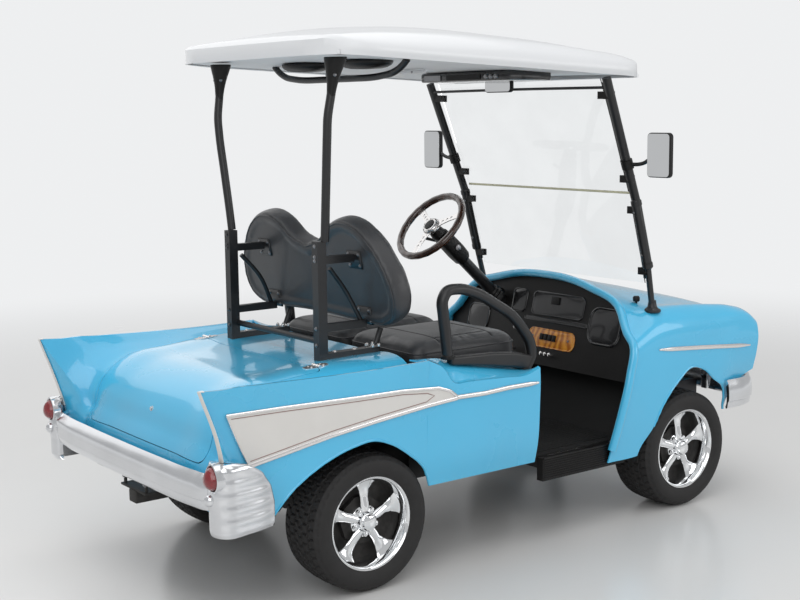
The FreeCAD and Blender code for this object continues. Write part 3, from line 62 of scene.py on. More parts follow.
def make_camera():
    """The photograph's camera, from its fitted place, direction and focal length."""
    data = bpy.data.cameras.new("camera")
    camera = link("camera", data)
    level = math.cos(ELEVATION)
    back = V((math.sin(AZIMUTH) * level, -math.cos(AZIMUTH) * level, math.sin(ELEVATION)))
    right = (-back).cross(V((0, 0, 1))).normalized()
    up = right.cross(-back)
    turned_right = right * math.cos(ROLL) + up * math.sin(ROLL)
    turned_up = up * math.cos(ROLL) - right * math.sin(ROLL)
    turn = Matrix((turned_right, turned_up, back)).transposed().to_4x4()
    camera.matrix_world = Matrix.Translation(CAMERA_PLACE) @ turn
    data.sensor_width = 36
    data.lens = FOCAL_LENGTH * 36 / PICTURE_WIDTH
    data.shift_x, data.shift_y = (shift / PICTURE_WIDTH for shift in CENTRE_SHIFT)
    data.clip_end = 100
    scene.camera = camera


make_camera()


# Materials
def put(node, **values):
    """Set a node's inputs by their names, with _ for a space."""
    for key, value in values.items():
        node.inputs[key.replace("_", " ")].default_value = value
    return node


def new_node(mat, kind, **values):
    """Add a node to a material or the world, with its inputs set."""
    return put(mat.node_tree.nodes.new("ShaderNode" + kind), **values)


def shader_of(mat):
    return mat.node_tree.nodes["Principled BSDF"]


def color_ramp(mat, stops):
    """A ramp between two colours."""
    ramp = new_node(mat, "ValToRGB")
    for element, (position, color) in zip(ramp.color_ramp.elements, stops):
        element.position = position
        element.color = (*color, 1)
    return ramp


def fine_relief(mat, kind, strength, scale, place):
    """A fine bump in cells, lines or noise."""
    tie = mat.node_tree.links.new
    if kind == "cells":
        fine = new_node(mat, "TexVoronoi", Scale=scale)
    elif kind == "lines":
        fine = new_node(mat, "TexWave", Scale=scale, Distortion=3)
    else:
        fine = new_node(mat, "TexNoise", Scale=scale, Detail=4)
    tie(place.outputs["Object"], fine.inputs["Vector"])
    bump = new_node(mat, "Bump", Strength=strength, Distance=0.002)
    tie(fine.outputs["Distance" if kind == "cells" else "Fac"], bump.inputs["Height"])
    tie(bump.outputs["Normal"], shader_of(mat).inputs["Normal"])


def material(name, color, rough=0.5, metal=0.0, coat=0.0, tone=0.06, tone_scale=6.0, grain=0.0,
             grain_scale=200.0, kind="noise", rough_spread=0.08, sheen=0.0):
    """A procedural surface: slow drifts of tone and roughness, and a fine bump of one kind."""
    mat = bpy.data.materials.new(name)
    mat.use_nodes = True
    tie = mat.node_tree.links.new
    shader = put(shader_of(mat), Metallic=metal, Coat_Weight=coat, Coat_Roughness=0.06, Sheen_Weight=sheen)
    place = new_node(mat, "TexCoord")
    drift = new_node(mat, "TexNoise", Scale=tone_scale, Detail=5)
    tie(place.outputs["Object"], drift.inputs["Vector"])
    darker, lighter = [c * (1 - tone) for c in color], [min(1, c * (1 + tone)) for c in color]
    ramp = color_ramp(mat, ((0.3, darker), (0.7, lighter)))
    tie(drift.outputs["Fac"], ramp.inputs["Fac"])
    tie(ramp.outputs["Color"], shader.inputs["Base Color"])
    spread = new_node(mat, "MapRange", To_Min=max(0.02, rough - rough_spread),
                      To_Max=min(1, rough + rough_spread))
    tie(drift.outputs["Fac"], spread.inputs["Value"])
    tie(spread.outputs["Result"], shader.inputs["Roughness"])
    if grain:
        fine_relief(mat, kind, grain, grain_scale, place)
    return mat


def wood_material():
    """Varnished wood with a wavy grain."""
    mat = material("amber_wood", (0.62, 0.24, 0.03), 0.22, coat=1.0, tone=0.1)
    tie = mat.node_tree.links.new
    wave = new_node(mat, "TexWave", Scale=9, Distortion=9, Detail=4)
    wave.bands_direction = "X"
    ramp = color_ramp(mat, ((0, (0.40, 0.12, 0.012)), (1, (0.78, 0.33, 0.04))))
    place = [node for node in mat.node_tree.nodes if node.type == "TEX_COORD"][0]
    tie(place.outputs["Object"], wave.inputs["Vector"])
    tie(wave.outputs["Fac"], ramp.inputs["Fac"])
    tie(ramp.outputs["Color"], shader_of(mat).inputs["Base Color"])
    return mat


def clear_material(name, color, rough, weight, ior=1.45):
    """A see-through surface, such as a lens or a screen."""
    mat = material(name, color, rough, tone=0.02, rough_spread=0.01)
    put(shader_of(mat), Transmission_Weight=weight, IOR=ior)
    return mat


BLUE = material("blue_paint", (0.062, 0.50, 0.80), 0.28, coat=1.0, tone=0.03, tone_scale=2.5, grain=0.02,
                grain_scale=900, rough_spread=0.05)
CREAM = material("white_inlay", (0.70, 0.68, 0.65), 0.32, coat=0.7, tone=0.03, grain=0.02, grain_scale=700)
ROOF = material("white_roof", (0.72, 0.73, 0.745), 0.34, coat=0.3, tone=0.015, tone_scale=2, grain=0.015,
                grain_scale=500)
LINING = material("roof_lining", (0.74, 0.75, 0.76), 0.5, tone=0.03, grain=0.05, grain_scale=300)
CHROME = material("bumper_chrome", (0.74, 0.75, 0.77), 0.20, metal=1.0, tone=0.04, tone_scale=9, grain=0.02,
                  grain_scale=300, rough_spread=0.06)
TRIM = material("trim_chrome", (0.80, 0.78, 0.77), 0.16, metal=0.9, tone=0.03, grain=0.01, grain_scale=400)
PIN = material("pin_stripe", (0.30, 0.20, 0.18), 0.35, metal=0.4, tone=0.08, tone_scale=20)
WHEEL = material("wheel_chrome", (0.86, 0.87, 0.88), 0.06, metal=1.0, tone=0.02, tone_scale=14,
                 rough_spread=0.03)
BLACK = material("black_coat", (0.010, 0.010, 0.011), 0.42, coat=0.12, tone=0.15, tone_scale=20, grain=0.10,
                 grain_scale=900)
PLASTIC = material("black_plastic", (0.008, 0.0075, 0.0075), 0.44, tone=0.15, tone_scale=12, grain=0.12,
                   grain_scale=700, kind="cells")
GLOSSY = material("dash_plastic", (0.012, 0.012, 0.013), 0.20, coat=0.5, tone=0.12, grain=0.03,
                  grain_scale=350)
RUBBER = material("tyre_rubber", (0.017, 0.016, 0.016), 0.72, tone=0.22, tone_scale=30, grain=0.20,
                  grain_scale=500)
MAT = material("floor_rubber", (0.012, 0.012, 0.012), 0.8, tone=0.2, tone_scale=25, grain=0.35,
               grain_scale=120, kind="lines")
VINYL = material("seat_vinyl", (0.030, 0.031, 0.034), 0.40, coat=0.10, tone=0.14, tone_scale=9, grain=0.22,
                 grain_scale=420, kind="cells", sheen=0.05)
IRON = material("cast_iron", (0.05, 0.048, 0.046), 0.6, metal=0.7, tone=0.25, tone_scale=40, grain=0.3,
                grain_scale=300)
STEEL = material("plain_steel", (0.30, 0.30, 0.31), 0.36, metal=0.9, tone=0.1, tone_scale=40, grain=0.08,
                 grain_scale=500)
SILVER = material("mirror_face", (0.90, 0.91, 0.92), 0.02, metal=1.0, tone=0.01, rough_spread=0.01)
BOWL = material("lamp_bowl", (0.85, 0.86, 0.87), 0.1, metal=1.0, tone=0.03, grain=0.2, grain_scale=160,
                kind="cells")
GRIP = material("wheel_wood", (0.045, 0.018, 0.010), 0.24, coat=0.9, tone=0.55, tone_scale=45, grain=0.05,
                grain_scale=300)
SEAL = material("clear_seal", (0.66, 0.64, 0.45), 0.35, tone=0.05, grain=0.05, grain_scale=200)
RED = material("red_lens", (0.24, 0.004, 0.010), 0.10, coat=1.0, tone=0.12, tone_scale=60, grain=0.25,
               grain_scale=260, kind="cells")
put(shader_of(RED), Transmission_Weight=0.1)
LENS = clear_material("lamp_lens", (0.95, 0.96, 0.97), 0.03, 0.85)
GLASS = clear_material("screen_glass", (0.965, 0.975, 0.975), 0.005, 1.0, 1.3)
WOOD = wood_material()
for dark in (PLASTIC, MAT):
    put(shader_of(dark), Specular_IOR_Level=0.28)


# Mesh helpers, in millimetres as the part's own tables are
def turns(count):
    """Angles spaced evenly round a circle."""
    return [2 * math.pi * step / count for step in range(count)]


def blend(low, high, share):
    return low + (high - low) * share


def blend_table(table, at):
    """A value between the rows of a table, by the first column."""
    for (a0, b0), (a1, b1) in zip(table, table[1:]):
        if at <= a1:
            return blend(b0, b1, max(0, (at - a0) / (a1 - a0)))
    return table[-1][1]


def shade(thing, angle=35):
    """Smooth faces, with edges sharper than an angle left sharp."""
    for face in thing.data.polygons:
        face.use_smooth = True
    thing.data.set_sharp_from_angle(angle=math.radians(angle))
    return thing


def from_faces(name, points, faces, mat=None, smooth=35):
    """A piece from points and faces, cleaned and turned outwards."""
    mesh = bpy.data.meshes.new(name)
    mesh.from_pydata([tuple(V(p) * MM) for p in points], [], faces)
    work = bmesh.new()
    work.from_mesh(mesh)
    bmesh.ops.remove_doubles(work, verts=work.verts, dist=1e-6)
    bmesh.ops.dissolve_degenerate(work, dist=1e-6, edges=work.edges)
    bmesh.ops.recalc_face_normals(work, faces=work.faces)
    work.to_mesh(mesh)
    work.free()
    thing = link(name, mesh)
    if mat is not None:
        mesh.materials.append(mat)
    return shade(thing, smooth) if smooth else thing


def quads(rows, closed=False):
    """Faces between rows of points; closed joins the last column to the first."""
    wide = len(rows[0])
    return [(i * wide + j, i * wide + (j + 1) % wide, (i + 1) * wide + (j + 1) % wide, (i + 1) * wide + j)
            for i in range(len(rows) - 1) for j in range(wide if closed else wide - 1)]


def sheet(name, rows, mat=None, smooth=35, closed=False):
    """A skin through rows of points."""
    return from_faces(name, [p for row in rows for p in row], quads(rows, closed), mat, smooth)


def tube(name, rings, mat=None, smooth=35):
    """A closed skin through rings of points, capped at both ends."""
    wide, last = len(rings[0]), len(rings) - 1
    caps = [tuple(range(wide)), tuple(last * wide + j for j in range(wide))]
    return from_faces(name, [p for ring in rings for p in ring], quads(rings, True) + caps, mat, smooth)


def prism(name, outline, low, high, axis="x", mat=None, smooth=35):
    """A closed outline pulled between two places along an axis."""
    order = {"x": (2, 0, 1), "y": (0, 2, 1), "z": (0, 1, 2)}[axis]
    rings = [[[(a, b, at)[i] for i in order] for a, b in outline] for at in (low, high)]
    n = len(outline)
    faces = [tuple(range(n)), tuple(range(2 * n - 1, n - 1, -1))]
    faces += [(i, (i + 1) % n, n + (i + 1) % n, n + i) for i in range(n)]
    return from_faces(name, rings[0] + rings[1], faces, mat, smooth)


def bake(thing):
    """Turn an object's modifiers into its mesh."""
    view = bpy.context.evaluated_depsgraph_get()
    mesh = bpy.data.meshes.new_from_object(thing.evaluated_get(view))
    thing.modifiers.clear()
    thing.data = mesh
    return thing


def thicken(thing, wall, offset=-1):
    """Give a sheet a wall."""
    mod = thing.modifiers.new("wall", "SOLIDIFY")
    mod.thickness = wall * MM
    mod.offset = offset
    return bake(thing)


def carve(thing, tools, way="DIFFERENCE"):
    """Cut tools out of a piece, or keep only what lies in them."""
    for tool in tools:
        mod = thing.modifiers.new("carve", "BOOLEAN")
        mod.operation = way
        mod.solver = "EXACT"
        mod.object = tool
    bake(thing)
    for tool in tools:
        bpy.data.objects.remove(tool)
    return thing


def soften(thing, width, segments=2, angle=35):
    """Rounded edges."""
    mod = thing.modifiers.new("soft edges", "BEVEL")
    mod.width = width * MM
    mod.segments = segments
    mod.limit_method = "ANGLE"
    mod.angle_limit = math.radians(angle)
    mod.harden_normals = False
    return bake(thing)


def smooth_run(points, sharp=(), steps=6):
    """A smooth curve through points, broken at each sharp one."""
    points = [V(p) for p in points]
    runs = [points[i + 1] - points[i] for i in range(len(points) - 1)]
    size = [max(run.length, 1e-6) for run in runs]
    leave, arrive = [], []
    for i in range(len(points)):
        before = runs[i - 1] / size[i - 1] if i else runs[0] / size[0]
        after = runs[i] / size[i] if i < len(runs) else before
        if 0 < i < len(runs) and i not in sharp:
            both_ways = (before * size[i] + after * size[i - 1]) / (size[i] + size[i - 1])
            before = after = both_ways
        arrive.append(before)
        leave.append(after)
    out = []
    for i, length in enumerate(size):
        for step in range(steps):
            t = step / steps
            out.append(points[i] * (2 * t ** 3 - 3 * t ** 2 + 1)
                       + leave[i] * (length * (t ** 3 - 2 * t ** 2 + t))
                       + points[i + 1] * (3 * t ** 2 - 2 * t ** 3)
                       + arrive[i + 1] * (length * (t ** 3 - t ** 2)))
    return out + [points[-1]]


def smooth_flat(points, steps=6):
    """A smooth line through pairs, as pairs."""
    return [(p.x, p.y) for p in smooth_run([(a, b, 0) for a, b in points], (), steps)]


def dense(rows, sharp_across=(), sharp_along=(), across=6, along=6, only=None):
    """Rows of points made into a fine smooth grid. only(column) says where the along breaks count."""
    rows = [smooth_run(row, sharp_across, across) for row in rows]
    columns = []
    for j in range(len(rows[0])):
        breaks = sharp_along if only is None or only(j / across) else ()
        columns.append(smooth_run([row[j] for row in rows], breaks, along))
    return [[column[i] for column in columns] for i in range(len(columns[0]))]


def round_box(x0, y0, x1, y1, radius, steps=8):
    """The outline of a box with round corners, as pairs."""
    corners = ((x1 - radius, y1 - radius), (x0 + radius, y1 - radius), (x0 + radius, y0 + radius),
               (x1 - radius, y0 + radius))
    outline = []
    for index, (cx, cy) in enumerate(corners):
        for step in range(steps + 1):
            a = math.radians(90 * index + 90 * step / steps)
            outline.append((cx + radius * math.cos(a), cy + radius * math.sin(a)))
    return outline


def block(name, low, high, mat, soft=2.0):
    """A box with soft edges."""
    (x0, y0, z0), (x1, y1, z1) = low, high
    box = prism(name, [(x0, y0), (x1, y0), (x1, y1), (x0, y1)], z0, z1, "z", mat)
    return shade(soften(box, soft, 3))


def turned(name, profile, mat, flats=64, place=(0, 0, 0), axis="x", smooth=35):
    """A profile of (along, radius) turned about an axis."""
    rings = []
    for along, radius in profile:
        ring = []
        for a in turns(flats):
            u, v = radius * math.cos(a), radius * math.sin(a)
            ring.append(V({"x": (along, u, v), "y": (u, along, v), "z": (u, v, along)}[axis]) + V(place))
        rings.append(ring)
    return tube(name, rings, mat, smooth)


def rod(name, path, radius, mat, sides=16, flat=1.0, steps=6):
    """A round or oval bar along a smooth path. With no steps, the path runs straight from point to point."""
    path = smooth_run(path, (), steps) if steps and len(path) > 2 else [V(p) for p in path]
    rings = []
    ahead = (path[1] - path[0]).normalized()
    side = ahead.cross(V((0, 0, 1)) if abs(ahead.z) < 0.9 else V((1, 0, 0))).normalized()
    for i, point in enumerate(path):
        run = path[min(i + 1, len(path) - 1)] - path[max(i - 1, 0)]
        run.normalize()
        side = (side - run * side.dot(run)).normalized()
        up = run.cross(side)
        r = radius(i / (len(path) - 1)) if callable(radius) else radius
        rings.append([point + side * (r * math.cos(a)) + up * (r * flat * math.sin(a)) for a in turns(sides)])
    return tube(name, rings, mat)


def join(name, things):
    """Several pieces as one object."""
    mesh = bpy.data.meshes.new(name)
    work = bmesh.new()
    mats = []
    for thing in things:
        offset = len(work.faces)
        work.from_mesh(thing.data)
        work.faces.ensure_lookup_table()
        for face in work.faces[offset:]:
            mat = thing.data.materials[face.material_index]
            if mat not in mats:
                mats.append(mat)
            face.material_index = mats.index(mat)
    work.to_mesh(mesh)
    work.free()
    for mat in mats:
        mesh.materials.append(mat)
    for thing in things:
        bpy.data.objects.remove(thing)
    return link(name, mesh)


def bolts(name, places, radius, mat, out=(0, 0, 1)):
    """Domed bolt heads, each lying on a surface that faces one way."""
    heads = []
    way = V(out).normalized()
    side = way.orthogonal().normalized()
    up = way.cross(side)
    for place in places:
        rings = []
        for rise, r in ((-1.0, 1.25), (0.12, 1.25), (0.2, 0.9), (0.7, 0.82), (0.9, 0.5), (0.95, 0.05)):
            middle = V(place) + way * (radius * rise)
            rings.append([middle + (side * math.cos(a) + up * math.sin(a)) * (radius * r) for a in turns(12)])
        heads.append(tube(name + "_part", rings, mat))
    return join(name, heads)


def set_in(thing, place, angle=0, axis="X"):
    """Turn a piece that is made about the origin, and move it to its place."""
    turn = Matrix.Rotation(math.radians(angle), 4, axis)
    thing.data.transform(Matrix.Translation(V(place) * MM) @ turn)
    return thing


def keep(thing, slot, *nodes, body="root"):
    """Give a finished piece its body and hide the nodes that it replaces. The slot is not used."""
    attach(thing, body)
    if nodes:
        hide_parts(*nodes)
    return thing


def both(name, thing, slot, *nodes):
    """Keep a left piece and add its mirror image on the right."""
    mesh = thing.data.copy()
    mesh.transform(Matrix.Scale(-1, 4, (1, 0, 0)))
    mesh.flip_normals()
    keep(thing, slot, *nodes)
    keep(link(name + "_right", mesh), slot, *nodes)


# The body's stations, as in the part. Rear rows: place along Y or angle about the pivot, ridge, deck and
# half width, with heights measured from the pivot. Pod rows: Y, outer and inner height. Arches: Y and Z.
# Cowl rows: Y, lean, and heights of the lower edge, fender, valley and middle.
SIDE, LOW = 618, 345
PIVOT = (1150, 300)
UPRIGHT = [(500, 524, 515, 630), (760, 522, 512, 632), (1000, 527, 496, 636), (1150, 532, 480, 640)]
FANNED = [(82, 540, 455, 644), (76, 555, 430, 647), (69, 576, 388, 651), (61.5, 618, 339, 658),
          (57, 420, 325, 655), (52, 342, 312, 642), (36, 262, 252, 618), (15, 232, 226, 606)]
POD = [(-55, 728, 706), (10, 707, 722), (120, 711, 744), (300, 719, 782), (370, 722, 800), (430, 790, 806),
       (500, 824, 812)]
REAR_ARCH = [(455, 250), (471, 348), (505, 420), (585, 492), (660, 540), (739, 566), (830, 556), (974, 507),
             (1080, 440), (1159, 348), (1175, 250)]
FRONT_ARCH = [(-620, 200), (-651, 299), (-727, 385), (-772, 468), (-850, 556), (-943, 618), (-1040, 590),
              (-1089, 551), (-1163, 500), (-1181, 395), (-1181, 200)]
COWL = [(-486, 105.3, 270, 800, 905, 995), (-640, 101, 270, 862, 895, 972), (-800, 97, 290, 874, 880, 945),
        (-960, 93, 300, 872, 868, 920), (-1120, 90, 330, 862, 850, 890), (-1260, 90, 500, 845, 828, 856),
        (-1350, 90, 540, 818, 806, 824), (-1385, 90, 550, 790, 786, 800)]
RIDGES = (4, 5, 15, 16)  # points of the rear sections that stay sharp
TAIL_LIFT = 62
LID_HALF, LID_FRONT, LID_LOW, LID_GAP = 455, 846, 548, 1.5
NOSE = -1385
LAMP_X, LAMP_Z, LAMP_HOLE_R = 478, 690, 74


def whole(half):
    """Both halves of a section, from the right edge over the middle to the left edge."""
    return [(-x, up) for x, up in half] + list(reversed(half[:-1]))


def in_space(points, foot, angle):
    """Flat points stood up at a foot, leaning by an angle."""
    lean = math.radians(angle)
    return [V((x, foot[0] + up * math.cos(lean), foot[1] + up * math.sin(lean))) for x, up in points]


def rear_half(bottom, ridge, deck, wide, tight):
    """Half a rear section, from its lower edge over the fin's ridge to the middle of the deck."""
    rise = ridge - bottom
    gutter = min(deck, ridge) - 0.055 * rise
    return [(SIDE - 30, bottom), (SIDE - 12, bottom + 0.2 * rise), (SIDE, bottom + 0.62 * rise),
            (blend(SIDE, wide, 0.5), bottom + 0.85 * rise), (wide, ridge), (wide - 12, ridge),
            (blend(wide, 515 - tight, 0.55), blend(ridge, gutter, 0.62)), (515 - tight, gutter),
            (468 - tight, blend(gutter, deck, 0.8)), (240, deck - 2), (0, deck)]


def rear_rows():
    """Upright sections, then sections that fan about the pivot to the tail."""
    low = LOW - PIVOT[1]
    rows = [in_space(whole(rear_half(low, ridge, deck, wide, 0)), (y, PIVOT[1]), 90)
            for y, ridge, deck, wide in UPRIGHT]
    for angle, ridge, deck, wide in FANNED:
        half = rear_half(low / math.sin(math.radians(angle)), ridge, deck, wide, (90 - angle) * 0.3)
        rows.append(in_space(whole(half), PIVOT, angle))
    return rows


def pod_rows():
    """Sections of the pod beside the seats, from its lower edge over its top to its inner edge."""
    rows = []
    for y, outer, inner in POD:
        rise = outer - LOW
        half = [(SIDE - 30, LOW), (SIDE - 12, LOW + 0.2 * rise), (SIDE, LOW + 0.62 * rise),
                (SIDE + 3, LOW + 0.9 * rise), (SIDE + 1, outer), (SIDE - 12, outer + 4),
                (blend(SIDE, 512, 0.5), blend(outer, inner, 0.6)), (512, inner)]
        rows.append([V((x, y, z)) for x, z in half])
    return rows


def front_half(bottom, fender, valley, middle):
    """Half a front section, from its lower edge over the fender to the middle of the cowl."""
    side = SIDE - 4
    rise = fender - bottom
    return [(side - 26, bottom), (side - 6, bottom + 0.35 * rise), (side, bottom + 0.7 * rise),
            (side - 16, bottom + 0.92 * rise), (side - 62, fender), (470, valley),
            (300, blend(valley, middle, 0.62)), (150, blend(valley, middle, 0.93)), (0, middle)]


def front_rows():
    """Front sections, each with its own lean."""
    rows = []
    for y, angle, bottom, fender, valley, middle in COWL:
        lift = 1 / math.sin(math.radians(angle))
        half = [(x, (z - LOW) * lift) for x, z in front_half(bottom, fender, valley, middle)]
        rows.append(in_space(whole(half), (y, LOW), angle))
    return rows


rear_grid = dense(rear_rows(), RIDGES, (7,), only=lambda c: min(abs(c - ridge) for ridge in RIDGES) < 1.2)
for row in rear_grid:
    for p in row:
        p.z += TAIL_LIFT * min(1, max(0, (440 - p.z) / 95)) * min(1, max(0, (p.y - 1260) / 60))
pod_grid = dense(pod_rows(), (4, 5), across=5)
front_grid = dense(front_rows())


def tree_of(*grids):
    """The skins of some grids, to find places on."""
    points, faces = [], []
    for rows in grids:
        start = len(points)
        points += [p for row in rows for p in row]
        faces += [tuple(start + corner for corner in face) for face in quads(rows)]
    return BVHTree.FromPolygons(points, faces)


REAR_TREE = tree_of(rear_grid, pod_grid)
FRONT_TREE = tree_of(front_grid)
TAIL_TREE = tree_of(rear_grid)


def half_width(grid, y, z):
    """Half width of the body at one place on its side, read off a fine grid."""
    return -min((p for row in grid for p in row[:26]), key=lambda p: (p.y - y) ** 2 + (p.z - z) ** 2).x


def cutter(outline, half=800, axis="x"):
    """A closed outline pulled through the cart, to carve with."""
    return prism("cutter", outline, -half, half, axis, smooth=0)


def lid_tool(gap):
    """The lid's place as a block, larger than the lid by a gap."""
    front, low = LID_FRONT - gap, LID_LOW - gap
    outline = [(front, 640), (front, 960), (1700, 960), (1700, low), (1230, low), (1230, 640)]
    return soften(cutter(outline, LID_HALF + gap), 28, 5)


# Rear body, lid and the pods beside the seats
rear_skin = thicken(sheet("rear_body_skin", rear_grid, BLUE), 3)
lid_skin = link("boot_lid_skin", rear_skin.data.copy())
carve(rear_skin, [lid_tool(LID_GAP), cutter(smooth_flat(REAR_ARCH))])
carve(lid_skin, [lid_tool(-LID_GAP)], "INTERSECT")
keep(shade(rear_skin, 28), "body_paint", "rear_body")
keep(shade(lid_skin, 28), "body_paint", "boot_lid", body="boot_lid")
pod = carve(thicken(sheet("side_pod_left", pod_grid, BLUE), 6), [cutter(smooth_flat(REAR_ARCH))])
both("side_pod", shade(pod, 30), "body_paint")

# Front body, with the nose that the grille and the lamps are let into
front_skin = carve(thicken(sheet("front_body_skin", front_grid, BLUE), 6), [cutter(smooth_flat(FRONT_ARCH))])
keep(shade(front_skin, 30), "body_paint", "front_body")
outline = [(p.x, p.z) for p in smooth_run(front_rows()[-1])]
nose = prism("nose_panel", outline, NOSE, NOSE + 6, "y", BLUE)
holes = [cutter([(-1420, 585), (-1420, 715), (-1340, 715), (-1340, 585)], 360)]
for side in (1, -1):
    x, r = side * LAMP_X, LAMP_HOLE_R
    ring = [(x + r * math.cos(a), LAMP_Z + r * math.sin(a)) for a in turns(48)]
    holes.append(prism("lamp_hole", ring, -1440, -1330, "y", smooth=0))
keep(shade(carve(nose, holes), 30), "body_paint")

# Rolled lips round the cabin's opening and along the arches
run = smooth_run(front_rows()[0])[2:-2]
keep(rod("cowl_lip", [p + V((0, 2, -10)) for p in run], 19, BLUE, 20, 0.9, 0), "body_paint")
for word, side in SIDES:
    for end, arch, grid in (("rear", REAR_ARCH, rear_grid), ("front", FRONT_ARCH, front_grid)):
        run = smooth_flat([(y, z) for y, z in arch if z > 340])
        path = [(side * (half_width(grid, y, z) - 2), y, z) for y, z in run]
        keep(rod(end + "_arch_lip_" + word, path, 5.5, BLUE, 8, steps=0), "body_paint")

# Roof: stations of place, rim and crown
ROOF_STATIONS = [(-655, 1840, 1890), (-645, 1841, 1908), (-600, 1843, 1936), (-390, 1853, 1984),
                 (0, 1872, 2024), (400, 1890, 2039), (700, 1904, 2014), (790, 1908, 1997), (845, 1910, 1981),
                 (865, 1911, 1966)]
ROOF_HALF, ROOF_REAR, ROOF_FRONT, ROOF_RIM = 606, 865, 655, 58


def roof_half(rim, crown):
    """Half a roof section, from its rim to the crown."""
    shoulder = rim + min(ROOF_RIM, crown - rim - 4)
    rise = crown - shoulder
    return [(598, rim), (606, rim + 22), (599, shoulder - 10), (566, shoulder + 0.3 * rise),
            (470, shoulder + 0.62 * rise), (330, shoulder + 0.84 * rise), (160, shoulder + 0.96 * rise),
            (0, crown)]


def round_corner(p):
    """Bring a place near one of the roof's four corners in to a rounded plan."""
    radius, end = (200, ROOF_REAR) if p.y > 0 else (110, ROOF_FRONT)
    across = min(1, max(0, (abs(p.x) - ROOF_HALF + radius) / radius))
    along = min(1, max(0, (abs(p.y) - end + radius) / radius))
    x = ROOF_HALF - radius + radius * across * math.sqrt(1 - along ** 2 / 2)
    y = end - radius + radius * along * math.sqrt(1 - across ** 2 / 2)
    return V((math.copysign(x, p.x), math.copysign(y, p.y), p.z)) if across and along else p


def end_wall(edge, rim, inward):
    """Two rows that close one end of the roof, from its rim up to its skin."""
    wall = [V((p.x, p.y, rim)) for p in edge]
    return wall, [blend(p, q, 0.5) - V((0, inward * 5, 0)) for p, q in zip(edge, wall)]


def under_roof(y):
    """Height of the lining over one place along the cart."""
    return blend_table([station[:2] for station in ROOF_STATIONS], y) + 12


roof_grid = dense([in_space(whole(roof_half(rim, crown)), (y, 0), 90) for y, rim, crown in ROOF_STATIONS])
low, middle = end_wall(roof_grid[0], 1840, 1)
roof_grid = [low, middle] + roof_grid
low, middle = end_wall(roof_grid[-1], 1911, -1)
roof_grid = [[round_corner(p) for p in row] for row in roof_grid + [middle, low]]
roof = thicken(sheet("roof_skin", roof_grid, ROOF), 8)
keep(shade(roof, 40), "white_paint", "roof")

# Wheels
TYRE_R, TREAD_FLATS = 254, 264
TRACK_HALF, AXLES = 495, (("front", -938), ("rear", 738))


def tread_height(across, angle):
    """Height of the tread pattern: a zigzag middle rib and staggered blocks beside it."""
    pitch = 2 * math.pi / 44
    phase = (angle % pitch) / pitch
    edge = abs(across)
    if edge > 88:
        return 0
    zigzag = 5 * abs(2 * phase - 1)
    for groove in (24, 56):
        if abs(edge - groove - zigzag + 2.5) < 3.4:
            return -7
    row = 0 if edge < 26 else 1 if edge < 58 else 2
    shift = (phase + row * 0.37 + (0.5 if across > 0 else 0) + edge * 0.006) % 1
    if shift < 0.17:
        return -6.5
    return -2.0 if abs(shift - 0.58) < 0.045 else 0


def tyre(name):
    """A tyre with a pattern in its tread and short ribs on its shoulders."""
    wall = smooth_flat([(-92, 168), (-106, 190), (-110, 214), (-104, 234), (-90, 247)], 5)
    tread = [-90 + 180 * i / 44 for i in range(1, 44)]
    tread = [(x, TYRE_R - 7 * (abs(x) / 90) ** 2.4) for x in tread]
    rings = []
    for along, radius in wall + tread + [(-x, r) for x, r in reversed(wall)]:
        ring = []
        for step, a in enumerate(turns(TREAD_FLATS)):
            r = radius
            if radius > 244:
                r += tread_height(along, a)
            elif 236 < radius and (step // 3) % 2:
                r -= 3
            ring.append((along, r * math.cos(a), r * math.sin(a)))
        rings.append(ring)
    return sheet(name, rings, RUBBER, 40, True)


SPOKE = ((40, 56, 22, 26), (62, 55, 19, 22), (90, 50, 17, 18), (118, 48, 22, 16), (140, 54, 34, 14),
         (154, 62, 46, 12))


def spoke(base):
    """A spoke through sections of radius, lift, half width and depth."""
    rings = []
    for radius, lift, half, deep in SPOKE:
        ring = []
        for a in turns(14):
            out = deep * 0.5 * math.sin(a) * (1.1 - 0.5 * abs(math.cos(a)))
            bend = base + half * math.cos(a) / max(radius, 60)
            ring.append((lift + out, radius * math.cos(bend), radius * math.sin(bend)))
        rings.append(ring)
    return tube("spoke", rings, WHEEL, 50)


def rim(name):
    """A deep chrome wheel with a stepped lip and five spokes that widen towards it."""
    lip = [(-92, 157), (-92, 170), (-84, 172), (-76, 165), (70, 160), (84, 164), (92, 173), (97, 172),
           (98, 168), (95, 164), (84, 159), (76, 156), (66, 152), (50, 149), (-80, 150)]
    hub = [(20, 60), (34, 62), (48, 58), (56, 46), (60, 38), (70, 36), (78, 33), (82, 26), (84, 12),
           (84, 0.5)]
    fifths = [a + 0.3 for a in turns(5)]
    nuts = [a + math.pi / 5 for a in fifths]
    parts = [turned("barrel", lip + lip[:1], WHEEL, 96), turned("hub", hub, WHEEL)]
    parts += [spoke(a) for a in fifths]
    parts += [turned("back", [(10, 1), (12, 150), (4, 150), (2, 1)], IRON, 48),
              bolts("nuts", [(58, 47 * math.cos(a), 47 * math.sin(a)) for a in nuts], 8, WHEEL, (1, 0, 0)),
              turned("cap", [(80, 30), (88, 27), (92, 18), (93, 0.5)], WHEEL, 40)]
    return shade(join(name, parts), 40)


for end, y in AXLES:
    for word, side in SIDES:
        corner = "_%s_%s" % (end, word)
        place, turn = (side * TRACK_HALF, y, TYRE_R), 0 if side > 0 else 180
        tread = set_in(tyre("tyre_tread" + corner), place, turn, "Z")
        keep(tread, "tyre", "tyre" + corner, body="wheel" + corner)
        wheel = set_in(rim("spoked_wheel" + corner), place, turn, "Z")
        keep(wheel, "alloy", "wheel_rim" + corner, body="wheel" + corner)


